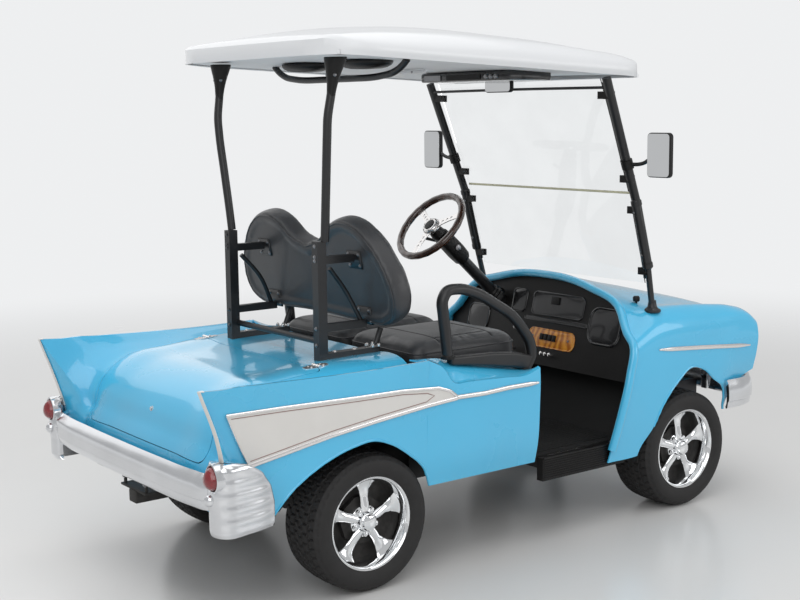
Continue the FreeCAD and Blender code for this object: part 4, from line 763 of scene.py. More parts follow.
# The body's side, and what lies on it
def on_side(y, z, out=0, tree=REAR_TREE):
    """The point of the left side's skin at one place, moved outwards."""
    for drop in range(0, 40, 3):
        hit = tree.ray_cast(V((900, y, z - drop)), V((-1, 0, 0)))[0]
        if hit is not None:
            return V((hit.x + out, y, z))
    return V((SIDE + out, y, z))


def along_side(places, out, step=22, tree=REAR_TREE):
    """Points on the side, close together, under a broken line of (y, z) places."""
    path = []
    for (y0, z0), (y1, z1) in zip(places, places[1:]):
        count = max(1, round(math.hypot(y1 - y0, z1 - z0) / step))
        path += [on_side(blend(y0, y1, i / count), blend(z0, z1, i / count), out, tree) for i in range(count)]
    return path + [on_side(*places[-1], out, tree)]


INSERT_FRONT, INSERT_REAR_LOW, INSERT_REAR_HIGH = 366, 1254, 1343
UPPER = [(INSERT_FRONT, 673), (399, 699), (454, 717), (618, 729), (824, 733), (1115, 742),
         (INSERT_REAR_HIGH, 747)]
LOWER = [(INSERT_FRONT, 667), (508, 657), (720, 636), (921, 612), (1112, 581), (INSERT_REAR_LOW, 559)]
STRIPE = [(1322, 733), (1115, 728), (824, 719), (618, 715), (505, 704), (472, 691), (508, 673), (720, 652),
          (921, 628), (1112, 597), (1246, 576)]
BELT = [(-42, 671), (111, 672), (229, 667), (INSERT_FRONT, 670)]
SPEAR = [(-735, 716), (-1000, 696), (-1330, 668)]


def side_insert():
    """The pale panel between the mouldings, laid on the skin."""
    rows = []
    for share in range(41):
        row = []
        for level in range(7):
            t = level / 6
            y = blend(INSERT_FRONT, blend(INSERT_REAR_LOW, INSERT_REAR_HIGH, t), share / 40)
            row.append(on_side(y, blend(blend_table(LOWER, y), blend_table(UPPER, y), t), 3.2))
        rows.append(row)
    return shade(thicken(sheet("side_insert_left", rows, CREAM), 3), 30)


def side_trim():
    """Chrome strips round the insert, and a fine stripe inside them."""
    parts = []
    for places, half in ((UPPER, 6), (LOWER, 8), ([LOWER[-1], UPPER[-1]], 6)):
        parts.append(rod("trim", along_side(places, 4), 3.2, TRIM, 12, half / 3.2, 0))
    parts.append(rod("stripe", along_side(STRIPE, 3.4), 1.2, PIN, 12, 1.6 / 1.2, 0))
    return join("side_trim_left", parts)


both("side_insert", side_insert(), "white_paint", "side_inserts")
both("side_trim", side_trim(), "chrome", "side_mouldings")
belt = rod("side_moulding_left", along_side(BELT, 4), lambda t: 2 + 2.4 * min(1, t * 9), TRIM, 14, 2.0, 0)
both("side_moulding", belt, "chrome", "side_mouldings")
spear = rod("fender_spear_left", along_side(SPEAR, 3, tree=FRONT_TREE),
            lambda t: 1.5 + 2.6 * min(1, t * 8, (1 - t) * 8), TRIM, 14, 2.2, 0)
both("fender_spear", spear, "chrome")

# Light strips down the fins' trailing edges
edge = [(rear_grid[r][24] + rear_grid[r][30]) * 0.5 + V((0, 2.5, 0.5)) for r in range(41, 55)]
strip = rod("fin_edge_left", [(-p.x, p.y, p.z) for p in edge], lambda t: 9.5 + 3.5 * t, CREAM, 16, 0.36, 0)
both("fin_edge", strip, "white_paint")


# Rear bumper
def swept_bar(name, half, profile, way):
    """A closed profile of (out, up) carried level along a bar's path, which half of it describes."""
    path = smooth_run([(-x, y, 0) for x, y in reversed(half)] + [(x, y, 0) for x, y in half[1:]], (), 5)
    rings = []
    for i, p in enumerate(path):
        run = path[min(i + 1, len(path) - 1)] - path[max(i - 1, 0)]
        out = V((-run.y, run.x, 0)).normalized() * way
        rings.append([V((p.x, p.y, 0)) + out * a + V((0, 0, z)) for a, z in profile])
    return tube(name, rings, CHROME, 32)


REAR_BAR = [(0, 1441), (300, 1438), (510, 1429), (600, 1412), (636, 1374), (642, 1310)]
REAR_PROFILE = [(-36, 541), (-34, 550), (-27, 553), (-16, 543), (-3, 529), (0, 523), (1, 496), (0, 470),
                (-4, 466), (-4, 461), (-5, 455), (-9, 440), (-15, 432), (-22, 433), (-22, 442), (-16, 462),
                (-14, 490), (-17, 520), (-31, 538)]
POD_FRONT = [(440, 1184), (500, 1199), (552, 1236), (586, 1292), (600, 1344)]
POD_SIDE = [(1182, 664), (1262, 691), (1340, 701), (1384, 698)]
POD_LEVELS = [356, 360, 366] + [372 + 5 * i for i in range(43)] + [586, 590, 594, 597, 599, 600]
TAIL_LAMP_X, TAIL_LAMP_Z, TAIL_LAMP_R = 656, 551, 37


def pod_section(z):
    """One level of a bumper pod: along the wing, round the corner and back to the body."""
    front = blend_table(POD_FRONT, z) if z > 440 else 1184
    inward = 8 * max(0, (372 - z) / 16) + 14 * max(0, (z - 574) / 26) ** 2
    flute = 3.6 * (0.5 - 0.5 * math.cos(2 * math.pi * (z - 384) / 43)) if 384 < z < 556 else 0
    belly = 7 * math.sin(math.pi * min(1, max(0, (z - 440) / 84)))
    middle = blend(front + 22, 1384, 0.5)
    outer = [(651, front + 4, 0, 0), (blend_table(POD_SIDE, front) - 2, front, 0, 0),
             (blend_table(POD_SIDE, front + 22), front + 22, 1, 0),
             (blend_table(POD_SIDE, middle), middle, 1, 0), (699, 1384, 0.7, 0.2), (680, 1407, 0.2, 0.7),
             (645, 1413, 0, 1), (617, 1405, 0, 0.8), (612, 1386, 0, 0)]
    ring = [(x - inward + flute * side, y - inward * (y > 1390) + belly * back, z)
            for x, y, side, back in outer]
    return smooth_run(ring, (), 5) + [V((634, 1382, z)), V((648, 1378, z)), V((648, front + 40, z))]


def lens_ring(y, share):
    """A drop with its point at the top, about the tail lamp's axis."""
    ring = []
    for a in turns(48):
        r = TAIL_LAMP_R * share * (1 + 0.22 * max(0, math.cos(a)) ** 6)
        ring.append((TAIL_LAMP_X + r * math.sin(a), y, TAIL_LAMP_Z + r * math.cos(a)))
    return ring


keep(swept_bar("rear_bumper_bar", REAR_BAR, REAR_PROFILE, 1), "chrome", "rear_bumper")
pod_form = tube("bumper_pod_left", [pod_section(z) for z in POD_LEVELS], CHROME)
carve(pod_form, [tube("lamp_hole", [lens_ring(1388, 1.02), lens_ring(1460, 1.02)], smooth=0)])
both("bumper_pod", shade(pod_form), "chrome", "rear_bumper")
levels = [(1380, 0.96), (1396, 0.98), (1410, 0.96), (1422, 0.87), (1431, 0.7), (1437, 0.48), (1440, 0.25),
          (1441, 0.03)]
tail_lens = tube("tail_lens_left", [lens_ring(*level) for level in levels], RED)
both("tail_lens", tail_lens, "red_lens", "tail_lamps")
levels = [(1388, 0.99), (1408, 0.99), (1414, 1.03), (1417, 1.1), (1415, 1.17), (1404, 1.22), (1388, 1.22),
          (1388, 0.99)]
bezel = sheet("lamp_bezel_left", [lens_ring(*level) for level in levels], CHROME, closed=True)
both("lamp_bezel", bezel, "chrome", "rear_bumper")
profile = [(1398, 20), (1420, 20), (1428, 18), (1433, 13), (1436, 7), (1437, 0.1)]
bullet = turned("bumper_bullet_left", profile, CHROME, 32, (648, 0, 482), "y")
both("bumper_bullet", bullet, "chrome")

# The frame ends behind the bar, and a hitch hangs under it
RAIL_END, BRACKET_FACE = 1408, 1416


def frame_rails():
    """The frame with the ends of its rails cut off."""
    rails = frame["nodes"]["chassis_frame"].copy()
    rails.data = rails.data.copy()
    rails.name = "frame_rails"
    scene.collection.objects.link(rails)
    return carve(rails, [cutter([(RAIL_END, 200), (1600, 200), (1600, 700), (RAIL_END, 700)], 500)])


def hitch():
    """A plate, a receiver under it and two bolted brackets."""
    irons = [block("hitch", (-190, 1330, 394), (4, 1424, 402), IRON, 1.5),
             block("hitch", (-124, 1300, 350), (-68, 1428, 396), IRON, 4)]
    for x in (-182, -18):
        irons.append(block("hitch", (x, RAIL_END, 396), (x + 14, BRACKET_FACE, 448), IRON, 1.5))
    places = [(x, BRACKET_FACE, 430) for x in (-175, -11)]
    irons.append(bolts("hitch_bolt", places, 8, STEEL, (0, 1, 0)))
    return join("bumper_brackets", irons)


keep(frame_rails(), "black_paint", "chassis_frame")
keep(hitch(), "black_paint")


# Hinges and lock of the lid
def deck_z(x, y):
    """Height of the rear deck at one place."""
    return TAIL_TREE.ray_cast(V((x, y, 1400)), V((0, 0, -1)))[0].z


def hinge_leaf(name, x, y0, y1):
    """A leaf that narrows along its length, laid on the deck."""
    rows = []
    for i in range(7):
        y = blend(y0, y1, i / 6)
        half = 24 * (1 - 0.55 * (i / 6) ** 1.6)
        rows.append([(x + half * s, y, deck_z(x + half * s, y) + 2.6) for s in (-1, -0.6, 0, 0.6, 1)])
    leaf = shade(thicken(sheet("leaf", rows, TRIM), 3), 40)
    y = blend(y0, y1, 0.4)
    places = [(x + s * 11, y, deck_z(x, y) + 2.4) for s in (-1, 1)]
    return join(name, [leaf, bolts("screws", places, 3.2, TRIM)])


KNUCKLES = [(-25, 0.5), (-25, 6), (-23, 7.5), (-9, 7.5), (-8, 6.5), (-7, 7.5), (7, 7.5), (8, 6.5), (9, 7.5),
            (23, 7.5), (25, 6), (25, 0.5)]
HINGE_X, HINGE_Y, HINGE_Z = 405, 838, 815
for word, side in SIDES:
    x = side * HINGE_X
    keep(hinge_leaf("hinge_body_" + word, x, 832, 792), "chrome")
    keep(hinge_leaf("hinge_lid_" + word, x, 850, 892), "chrome", body="boot_lid")
    keep(turned("hinge_barrel_" + word, KNUCKLES, TRIM, 24, (x, HINGE_Y, HINGE_Z)), "chrome", body="boot_lid")
spot, way = TAIL_TREE.ray_cast(V((0, 2000, 655)), V((0, -1, 0)))[:2]
keep(bolts("boot_lock", [spot], 8, TRIM, way if way.y > 0 else -way), "chrome", body="boot_lid")


# Struts and what they hold
FRONT = [V((541, -766, 900)), V((551, -728, 1059)), V((549, -652, 1341)), V((564, -456, 1842))]
REAR = [V((335, 745, 1253)), V((341, 746.5, 1300)), V((391, 762, 1668)), V((408, 731, 1920))]


def on_path(path, z, dx=0, dy=0):
    """The place on a strut's line at one height."""
    for low, high in zip(path, path[1:]):
        if z <= high.z or high is path[-1]:
            return low.lerp(high, (z - low.z) / (high.z - low.z)) + V((dx, dy, 0))


def on_front(*heights, dx=0, dy=0):
    """Places on the front strut's line at some heights."""
    return [on_path(FRONT, z, dx, dy) for z in heights]


def front_strut():
    """A tube that steps up between two collars, on a cup, with a channel for the glass."""
    middle = on_front(1052, 1056, 1196, 1341, 1348)
    parts = [rod("strut", [on_path(FRONT, 880), FRONT[1]], 13, BLACK, 24),
             rod("strut", middle, lambda t: 20 if 0.02 < t < 0.98 else 15, BLACK, 24, 1.0, 0),
             rod("strut", on_front(1346, 1500, 1700, 1838), 16, BLACK, 24, 1.3, 0)]
    parts += [rod("collar", on_front(z - 9, z + 9), 22.5, BLACK, 24) for z in (1068, 1330)]
    for heights in ((1010, 1059, 1200, 1336), (1380, 1500, 1700, 1820)):
        parts.append(rod("channel", on_front(*heights, dx=-19, dy=2), 6, PLASTIC, 10, 1.6, 0))
    foot = on_path(FRONT, 884)
    cup = [(-22, 0.5), (-21, 33), (-17, 37), (-11, 37), (-7, 33), (-3, 25), (4, 20), (16, 17.5), (30, 16),
           (31, 12)]
    parts.append(turned("cup", cup, BLACK, 40, foot, "z"))
    corners = [math.radians(angle) for angle in (40, 140, 220, 320)]
    places = [foot + V((27 * math.cos(a), 27 * math.sin(a), -8)) for a in corners]
    parts.append(bolts("cup_bolt", places, 4, STEEL))
    parts.append(bolts("strut_bolt", on_front(1110, 1290, dx=-4, dy=19), 5, STEEL, (0, 1, 0)))
    return join("front_strut_left", parts)


def rear_strut():
    """A bowed tube that flares into a socket under the roof."""
    path = [REAR[0] - V((0, 0, 1)), REAR[1], on_path(REAR, 1480), on_path(REAR, 1640),
            REAR[2] + V((1, -1, 24)), on_path(REAR, 1780), on_path(REAR, 1880)]
    flare = [(1772, 16.5), (1790, 18), (1815, 21), (1840, 26), (1862, 32), (1880, 38), (1894, 42), (1904, 44),
             (1908, 44)]
    rings = [[on_path(REAR, z) + V((radius * math.cos(a), radius * 0.9 * math.sin(a), 0)) for a in turns(32)]
             for z, radius in flare]
    heads = [on_path(REAR, 1846, dx, 12) for dx in (-24, 24)]
    parts = [rod("strut", path, 16, BLACK, 24, steps=5), tube("socket", rings, PLASTIC),
             bolts("socket_bolt", heads, 5, STEEL, (0, 1, 0.3))]
    return join("rear_strut_left", parts)


both("front_strut", front_strut(), "black_paint", "front_struts")
both("rear_strut", rear_strut(), "black_paint", "rear_struts", "strut_sockets")

# Bolts on the seat frame's posts and foot bars. The left post's bolts are also a piece of their own.
POST_X, POST_FACE, FOOT_BAR_TOP = 318, 779.5, 838
places = []
for side in (1, -1):
    places += [(side * POST_X, POST_FACE, z) for z in (1235, 1196, 1182, 932, 870)]
    post_bolts = bolts("post_bolts_rear", places, 6, STEEL, (0, 1, 0))
    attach(post_bolts, "root")
places = [(side * POST_X, y, FOOT_BAR_TOP) for side in (1, -1) for y in (528, 612, 700)]
keep(bolts("foot_bolts", places, 7, TRIM), "chrome")


def rounded_plate(name, low, high, radius, y0, y1, mat):
    """A plate across the cart with round corners, between two places along Y."""
    return prism(name, round_box(*low, *high, radius, 6), y0, y1, "y", mat)


def mirror_head(low, high, radius, y0, y1):
    """A shell with a thin rim round a silvered face that looks back along the cart."""
    head = shade(soften(rounded_plate("head", low, high, radius, y0, y1, PLASTIC), 5, 3, 50))
    low, high = [at + 4 for at in low], [at - 4 for at in high]
    return [head, rounded_plate("face", low, high, radius - 3, y1 - 4, y1 + 0.8, SILVER)]


parts = mirror_head((662, 1442), (784, 1620), 18, -612, -590)
arm = [on_path(FRONT, 1492), (604, -606, 1492), (640, -604, 1500), (676, -602, 1520)]
parts += [rod("arm", arm, 8, BLACK), rod("clamp", on_front(1474, 1510), 23, PLASTIC, 20, 1.15)]
both("side_mirror", join("side_mirror_left", parts), "dark_plastic", "mirrors")
parts = mirror_head((-25, 1790), (145, 1846), 16, -451, -430)
parts.append(rod("stalk", [(60, -440, 1840), (60, -438, 1864)], 6, BLACK, 14))
keep(join("centre_mirror", parts), "dark_plastic", "mirrors")

# Under the roof
LINING_HALF, LINING_FRONT, LINING_REAR = 590, -640, 852
LINING_SHARE = 0.974, 0.985
CONSOLE_Z, CONSOLE_FRONT = under_roof(-300), -190
SPEAKER_X, SPEAKER_Y, SPEAKER_HALF_WIDE, SPEAKER_HALF_LONG = 205, 455, 125, 88
GRAB_BAR_Y = 450


def roof_lining():
    """A slightly crowned sheet inside the roof's rim, with the roof's corners."""
    rows = []
    for y, rim, _ in ROOF_STATIONS:
        y = max(LINING_FRONT, min(LINING_REAR, y))
        rows.append([V((x, y, rim + 9 + 10 * (1 - (x / LINING_HALF) ** 2)))
                     for x in (-590, -560, -400, -200, 0, 200, 400, 560, 590)])
    wide, deep = LINING_SHARE
    rows = [[round_corner(V((p.x / wide, p.y, p.z))) for p in row] for row in dense(rows, across=3, along=3)]
    rows = [[(p.x * wide, p.y * deep, p.z) for p in row] for row in rows]
    return shade(thicken(sheet("roof_lining", rows, LINING), 3))


def speaker(side):
    """An oval speaker that hangs from the lining."""
    rings = []
    for drop, share in ((2, 0.98), (-2, 1), (-8, 0.99), (-16, 0.93), (-24, 0.78), (-28, 0.6), (-29, 0.4),
                        (-27, 0.36), (-27, 0.02)):
        wide, deep = SPEAKER_HALF_WIDE * share, SPEAKER_HALF_LONG * share
        rings.append([(side * SPEAKER_X + wide * math.cos(a), SPEAKER_Y + deep * math.sin(a),
                       under_roof(SPEAKER_Y) + drop) for a in turns(48)])
    return tube("speaker", rings, PLASTIC)


def console_front():
    """A radio, a vent and three knobs on the console's face."""
    low, high = CONSOLE_Z - 28, CONSOLE_Z - 6
    ends = CONSOLE_FRONT - 4, CONSOLE_FRONT + 4
    knob = [(-192, 9), (-182, 9), (-178, 7), (-177, 0.5)]
    parts = [rounded_plate("radio", (-110, low), (110, high), 5, *ends, PLASTIC),
             rounded_plate("vent", (150, low), (262, high), 4, *ends, STEEL)]
    parts += [turned("knob", knob, STEEL, 20, (x, 0, CONSOLE_Z - 17), "y") for x in (-150, -180, -210)]
    return join("roof_console_front", parts)


keep(roof_lining(), "white_paint")
keep(join("roof_speakers", [speaker(1), speaker(-1)]), "dark_plastic")
half = [(0, 1842), (90, 1842), (300, 1848), (372, 1859), (428, 1884), (452, 1902)]
path = [(-x, GRAB_BAR_Y, z) for x, z in reversed(half)] + [(x, GRAB_BAR_Y, z) for x, z in half[1:]]
keep(rod("roof_grab_bar", path, 13, BLACK), "black_paint")
low, high = (-290, -420, CONSOLE_Z - 34), (290, CONSOLE_FRONT, CONSOLE_Z + 4)
keep(block("roof_console", low, high, GLOSSY, 8), "dark_plastic")
keep(console_front(), "dark_plastic")
middle = under_roof(0)
keep(block("roof_bracket", (20, -12, middle - 16), (270, 12, middle - 2), ROOF, 3), "white_paint")
keep(bolts("roof_bracket_screws", [(x, 12.5, middle - 9) for x in (90, 200)], 4, STEEL, (0, 1, 0)), "steel")
path = [(-548, -466, 1800), (0, -466, 1802), (548, -466, 1800)]
keep(rod("screen_top_bar", path, 6, BLACK, 14), "black_paint")
path = [(-517, -653, 1371), (517, -653, 1371)]
keep(rod("screen_fold_seal", path, 3.4, SEAL, 10, 1.5, 0), "dark_plastic")


# Seats
CUSHION_INNER, CUSHION_OUTER, CUSHION_FRONT, CUSHION_REAR = 4, 476, -88, 446
CUSHION_TOP, CUSHION_WELT_Z = 862, 824
BACK_FOOT, BACK_LEAN = (520, 868), math.radians(12)


def swell(thing, cap, voxel=9, pressure=4, frames=20):
    """Let a pad fill out like a stuffed cover, with no point moving further than the cap."""
    even = thing.modifiers.new("even", "REMESH")
    even.mode = "VOXEL"
    even.voxel_size = voxel * MM
    bake(thing)
    start = [vertex.co.copy() for vertex in thing.data.vertices]
    cloth = thing.modifiers.new("fill", "CLOTH")
    cloth.settings.use_pressure = True
    cloth.settings.uniform_pressure_force = pressure
    cloth.settings.effector_weights.gravity = 0
    cloth.point_cache.frame_start = 1
    cloth.point_cache.frame_end = frames
    for count in range(1, frames + 1):
        scene.frame_set(count)
    bake(thing)
    scene.frame_set(1)
    for vertex, place in zip(thing.data.vertices, start):
        moved = vertex.co - place
        if moved.length > cap * MM:
            vertex.co = place + moved.normalized() * cap * MM
    fine = thing.modifiers.new("fine", "SUBSURF")
    fine.levels = 1
    return shade(bake(thing), 60)


def surface_run(thing, path, out=0.0):
    """Points of a path moved onto the nearest place of a piece's skin."""
    mesh = thing.data
    tree = BVHTree.FromPolygons([v.co for v in mesh.vertices], [tuple(f.vertices) for f in mesh.polygons])
    hits = [tree.find_nearest(V(p) * MM)[:2] for p in path]
    return [(spot + normal * out * MM) / MM for spot, normal in hits]


def crease(thing, lines, width, depth):
    """Press sewn channels into a pad along lines of points."""
    points = [V(p) * MM for line in lines for p in line]
    line_tree = KDTree(len(points))
    for count, p in enumerate(points):
        line_tree.insert(p, count)
    line_tree.balance()
    normals = [v.normal.copy() for v in thing.data.vertices]
    for vertex, normal in zip(thing.data.vertices, normals):
        away = line_tree.find(vertex.co)[2] / MM
        if away < width:
            vertex.co -= normal * (depth * MM * (1 - away / width) ** 2)
    return shade(thing, 60)


def stitches(lines):
    """A fine dark thread along each line."""
    return [rod("stitch", line, 0.9, BLACK, 6, steps=0) for line in lines]


def welt(path, radius):
    """A closed cord sewn into a pad's seam."""
    return rod("welt", path + path[:1], radius, VINYL, 8, steps=0)


def fine_line(a, b, count=120):
    """Points close together between two places."""
    return [V(a).lerp(V(b), i / count) for i in range(count + 1)]


def cushion_half(name, side):
    """One half of the seat cushion, filled out and sewn in squares, with a welt round its top."""
    x0, x1 = sorted((side * CUSHION_INNER, side * CUSHION_OUTER))
    levels = ((731, 26), (733, 14), (744, 6), (770, 3), (806, 5), (826, 12), (838, 26), (845, 52), (849, 100),
              (851, 150))
    rings = []
    for z, inset in levels:
        radius = max(6, 52 - inset * 0.4)
        outline = round_box(x0 + inset, CUSHION_FRONT + inset, x1 - inset, CUSHION_REAR - inset, radius)
        rings.append([(x, y, z) for x, y in outline])
    pad = swell(tube(name, rings, VINYL), 9)
    top, near, far = CUSHION_TOP, 40, 300
    lines = [fine_line((x0 + 20, y, top), (x1 - 20, y, top)) for y in (near, far)]
    lines += [fine_line((x, near, top), (x, far, top)) for x in (x0 + 75, x1 - 75)]
    lines = [surface_run(pad, line) for line in lines]
    crease(pad, lines, 9, 4.5)
    outline = round_box(x0 - 20, CUSHION_FRONT - 24, x1 + 20, CUSHION_REAR + 24, 70, 14)
    edge = surface_run(pad, [(x, y, CUSHION_WELT_Z) for x, y in outline], 1)
    keep(join(name + "_welt", [welt(edge, 3.2)] + stitches([line[2:-2:3] for line in lines])), "vinyl")
    keep(pad, "vinyl", "seat_cushion")


for word, side in SIDES:
    cushion_half("seat_cushion_" + word, side)

BACK = [(0, 62), (300, 58), (448, 64), (510, 104), (536, 166), (531, 232), (492, 326), (424, 408), (348, 457),
        (262, 473), (175, 449), (85, 388), (0, 362)]
PAD_RINGS = [(50, -9), (36, -18), (18, -22), (6, -17), (1, 0), (0, 20), (1, 42), (7, 58), (19, 66), (40, 69)]
SHELL_RINGS = [(58, 2), (44, -2), (46, -13), (60, -14), (70, -8), (74, -8)]
back_outline = smooth_flat(BACK)
back_outline = back_outline + [(-x, up) for x, up in reversed(back_outline[1:-1])]


def back_place(x, up, out):
    """A place on the leaning back: across, up its face and forward out of it."""
    (y, z), lean, rise = BACK_FOOT, math.sin(BACK_LEAN), math.cos(BACK_LEAN)
    return V((x, y + up * lean - out * rise, z + up * rise + out * lean))


def back_ring(inset, out):
    """The back's outline moved inwards, at one depth."""
    ring = []
    n = len(back_outline)
    for i, (x, up) in enumerate(back_outline):
        before, after = back_outline[i - 1], back_outline[(i + 1) % n]
        run = V((after[0] - before[0], after[1] - before[1], 0)).normalized()
        ring.append(back_place(x - run.y * inset, up + run.x * inset, out))
    return ring


def back_shell():
    """A ribbed moulding sunk inside the pad's rolled edge, with four bolted plates."""
    runs = []
    for side in (1, -1):
        for up in (130, 190, 250, 310):
            runs.append(((side * 30, up), (side * (425 - 0.45 * abs(up - 190)), up + 8)))
        runs += [((side * x, 108), (side * x, 330)) for x in (60, 190, 255, 400)]
    parts = [tube("shell", [back_ring(*ring) for ring in SHELL_RINGS], PLASTIC)]
    parts += [rod("rib", [back_place(*a, -9), back_place(*b, -9)], 5, PLASTIC, 10) for a, b in runs]
    for side in (1, -1):
        for up in (98, 316):
            rows = [[back_place(side * x, u, -17) for x in (276, 290, 346, 360)]
                    for u in (up - 34, up, up + 34)]
            parts.append(thicken(sheet("plate", rows, BLACK), 6, 0))
            heads = [back_place(side * x, up + d, -20) for x in (286, 350) for d in (-22, 22)]
            parts.append(bolts("plate_bolts", heads, 5.5, STEEL, back_place(0, 0, -1) - back_place(0, 0, 0)))
    return join("seat_back_shell_ribbed", parts)


pad = swell(tube("seat_back_pad", [back_ring(*ring) for ring in PAD_RINGS], VINYL), 7)
lines = []
for side in (1, -1):
    lines.append([back_place(side * 74, up, 72) for up in range(60, 376, 4)])
    lines.append([back_place(side * (420 - abs(up - 180) * 0.3), up, 72) for up in range(64, 400, 4)])
    lines += [[back_place(side * x, up, 72) for x in range(74, 402, 4)] for up in (140, 225, 310)]
lines = [surface_run(pad, line) for line in lines]
crease(pad, lines, 10, 5)
cords = [welt(surface_run(pad, back_ring(*ring), 0.8), 3.0) for ring in ((30, 76), (12, -40))]
keep(join("seat_back_welts", cords + stitches([line[::3] for line in lines])), "vinyl")
keep(pad, "vinyl", "seat_back")
keep(back_shell(), "dark_plastic", "seat_back_shell")


def seat_frame_tubes():
    """A cross tube between the posts, and a bent stay and a foot on each side."""
    parts = [rod("tube", [(-316, 740, 876), (316, 740, 876)], 12, BLACK, 18)]
    for x in (POST_X, -POST_X):
        bent = math.copysign(306, x)
        parts += [rod("stay", [(x, 716, 1150), (bent, 640, 1060), (x, 578, 940)], 9, BLACK, 14),
                  rod("foot", [(x, 512, 848), (x, 488, 905)], 11, BLACK, 14)]
        parts.append(bolts("nut", [(x + dx, y, 846) for y in (512, 540) for dx in (-19, 19)], 6, TRIM))
    return join("seat_frame_tubes", parts)


keep(seat_frame_tubes(), "black_paint")
ARMREST_X, ARMREST_HALF = 542, 19


def armrest():
    """A thick loop on two feet, with a rail along the pod."""
    path = [(344, 808), (352, 880), (363, 970), (366, 1022), (346, 1052), (296, 1058), (204, 1034),
            (104, 980), (29, 934), (-28, 876), (-70, 814), (-78, 764), (-50, 716)]
    line = smooth_run([(ARMREST_X, y, z) for y, z in path], (), 5)
    parts = [rod("loop", line, lambda t: 21 - 2 * abs(2 * t - 1) ** 6, BLACK, 20, 1.12, 0)]
    foot = [(-6, 0.5), (-6, 26), (4, 26), (9, 21), (10, 12)]
    parts += [turned("foot", foot, PLASTIC, 32, (ARMREST_X, *at), "z") for at in ((344, 806), (-38, 713))]
    lower = [(336, 776), (240, 764), (126, 747), (20, 728), (-50, 708)]
    upper = [(-72, 742), (-70, 766), (20, 788), (126, 799), (240, 804), (338, 806)]
    rail = prism("rail", lower + upper, ARMREST_X - ARMREST_HALF, ARMREST_X + ARMREST_HALF, "x", BLACK)
    parts.append(soften(rail, 9, 4, 25))
    return join("armrest_left", parts)


both("armrest", armrest(), "black_paint", "hip_restraints")

# Dash: its face leans, and its fittings are turned to lie on it
DASH_TURN, DASH_Y, DASH_Z, DASH_SLOPE = 14.5, -513.7, 345, 0.2586
DASH_OUT = 0.968, 0.25
FRAMES = [(-262, 62, 806, 904, 26, 4), (104, 196, 806, 904, 22, 4), (-492, -312, 722, 872, 48, 6),
          (340, 480, 700, 810, 30, 5), (-300, 96, 778, 794, 7, 3)]


def dash_place(x, z, out=0.0):
    """A place on the dash's leaning face, moved out towards the seats."""
    return V((x, DASH_Y - DASH_SLOPE * (z - DASH_Z) + DASH_OUT[0] * out, z + DASH_OUT[1] * out))


def on_dash(thing, x, z, out=0.0):
    """Set a piece made about the origin on the dash's face."""
    return set_in(thing, dash_place(x, z, out), DASH_TURN)


def dash_frame(x0, x1, z0, z1, radius, thick, mat=GLOSSY, out=1.0):
    """A rounded frame on the dash, with a smooth panel inside it."""
    outline = round_box(x0, z0, x1, z1, radius)
    low, high = ([dash_place(x, z, depth) for x, z in outline] for depth in (-3, out))
    x, z = 0.5 * (x0 + x1), 0.5 * (z0 + z1)
    inner = [dash_place(blend(a, x, 0.12), blend(b, z, 0.12), out + 1.5) for a, b in outline]
    return [rod("rim", high + high[:1], thick, mat, 10, steps=0), tube("panel", [low, high, inner], mat)]


def dash_fittings():
    """Framed pockets, a catch and three dials."""
    parts = [piece for size in FRAMES for piece in dash_frame(*size)]
    parts.append(on_dash(block("catch", (-108, -4, -20), (-62, 9, 14), PLASTIC, 4), 0, 876, 3))
    dial = [(-3, 0.5), (-3, 20), (5, 20), (7, 18), (4, 16.5), (4, 0.5)]
    face = [(4, 0.5), (4, 16), (4.6, 16), (4.6, 0.5)]
    for x, z in ((96, 742), (140, 742), (350, 846)):
        parts += [on_dash(turned("dial", dial, TRIM, 36, axis="y"), x, z),
                  on_dash(turned("dial_face", face, BLACK, 32, axis="y"), x, z),
                  rod("needle", [dash_place(x, z, 5.5), dash_place(x + 9, z + 9, 5.5)], 0.8, TRIM, 6)]
    return join("dash_fittings", parts)


def dash_switches():
    """Rockers and screws on the wood panel, with three knobs and the drive selector below."""
    parts = []
    for x in range(-118, -39, 26):
        parts.append(on_dash(block("switch", (x - 9, -6, -14), (x + 9, 7, 14), PLASTIC, 2.5), 0, 712, 5))
    parts.append(bolts("wood_screw", [dash_place(x, 711, 3) for x in (-204, 20)], 4, STEEL, (0, 1, 0.25)))
    knob = [(-4, 6), (10, 6), (12, 9), (20, 9), (22, 6), (22.5, 0.5)]
    for x in (-118, -92, -66):
        parts.append(on_dash(turned("knob", knob, TRIM, 24, axis="y"), x, 640))
    ball = [(0, 4), (4, 12), (14, 15), (24, 12), (29, 5), (30, 0.5)]
    parts += [rod("selector", [dash_place(130, 640, -4), dash_place(130, 640, 34)], 5, STEEL, 12),
              turned("selector_knob", ball, PLASTIC, 28, dash_place(130, 640, 30), "y")]
    return join("dash_switches", parts)


keep(dash_fittings(), "dark_plastic")
keep(join("dash_wood_panel", dash_frame(-240, 50, 669, 746, 30, 3, WOOD)), "dark_plastic")
keep(dash_switches(), "dark_plastic")

# Steering wheel and column, made about the hub and then leant
HUB, COLUMN_LEAN = (270, -222, 1212), -48
WHEEL_R = 168


def wheel_spoke(angle):
    """A flat spoke that widens at both ends, drilled three times."""
    c, s = math.cos(angle), math.sin(angle)
    outline = [(34, 24), (60, 16), (100, 13), (140, 16), (163, 27), (163, -27), (140, -16), (100, -13),
               (60, -16), (34, -24)]
    outline = [(r * c - w * s, r * s + w * c) for r, w in outline]
    drills = [turned("drill", [(-20, 7), (20, 7)], None, 24, (r * c, r * s, 0), "z", 0)
              for r in (64, 88, 111)]
    return soften(carve(prism("spoke", outline, -7, -3, "z", TRIM), drills), 1.2)


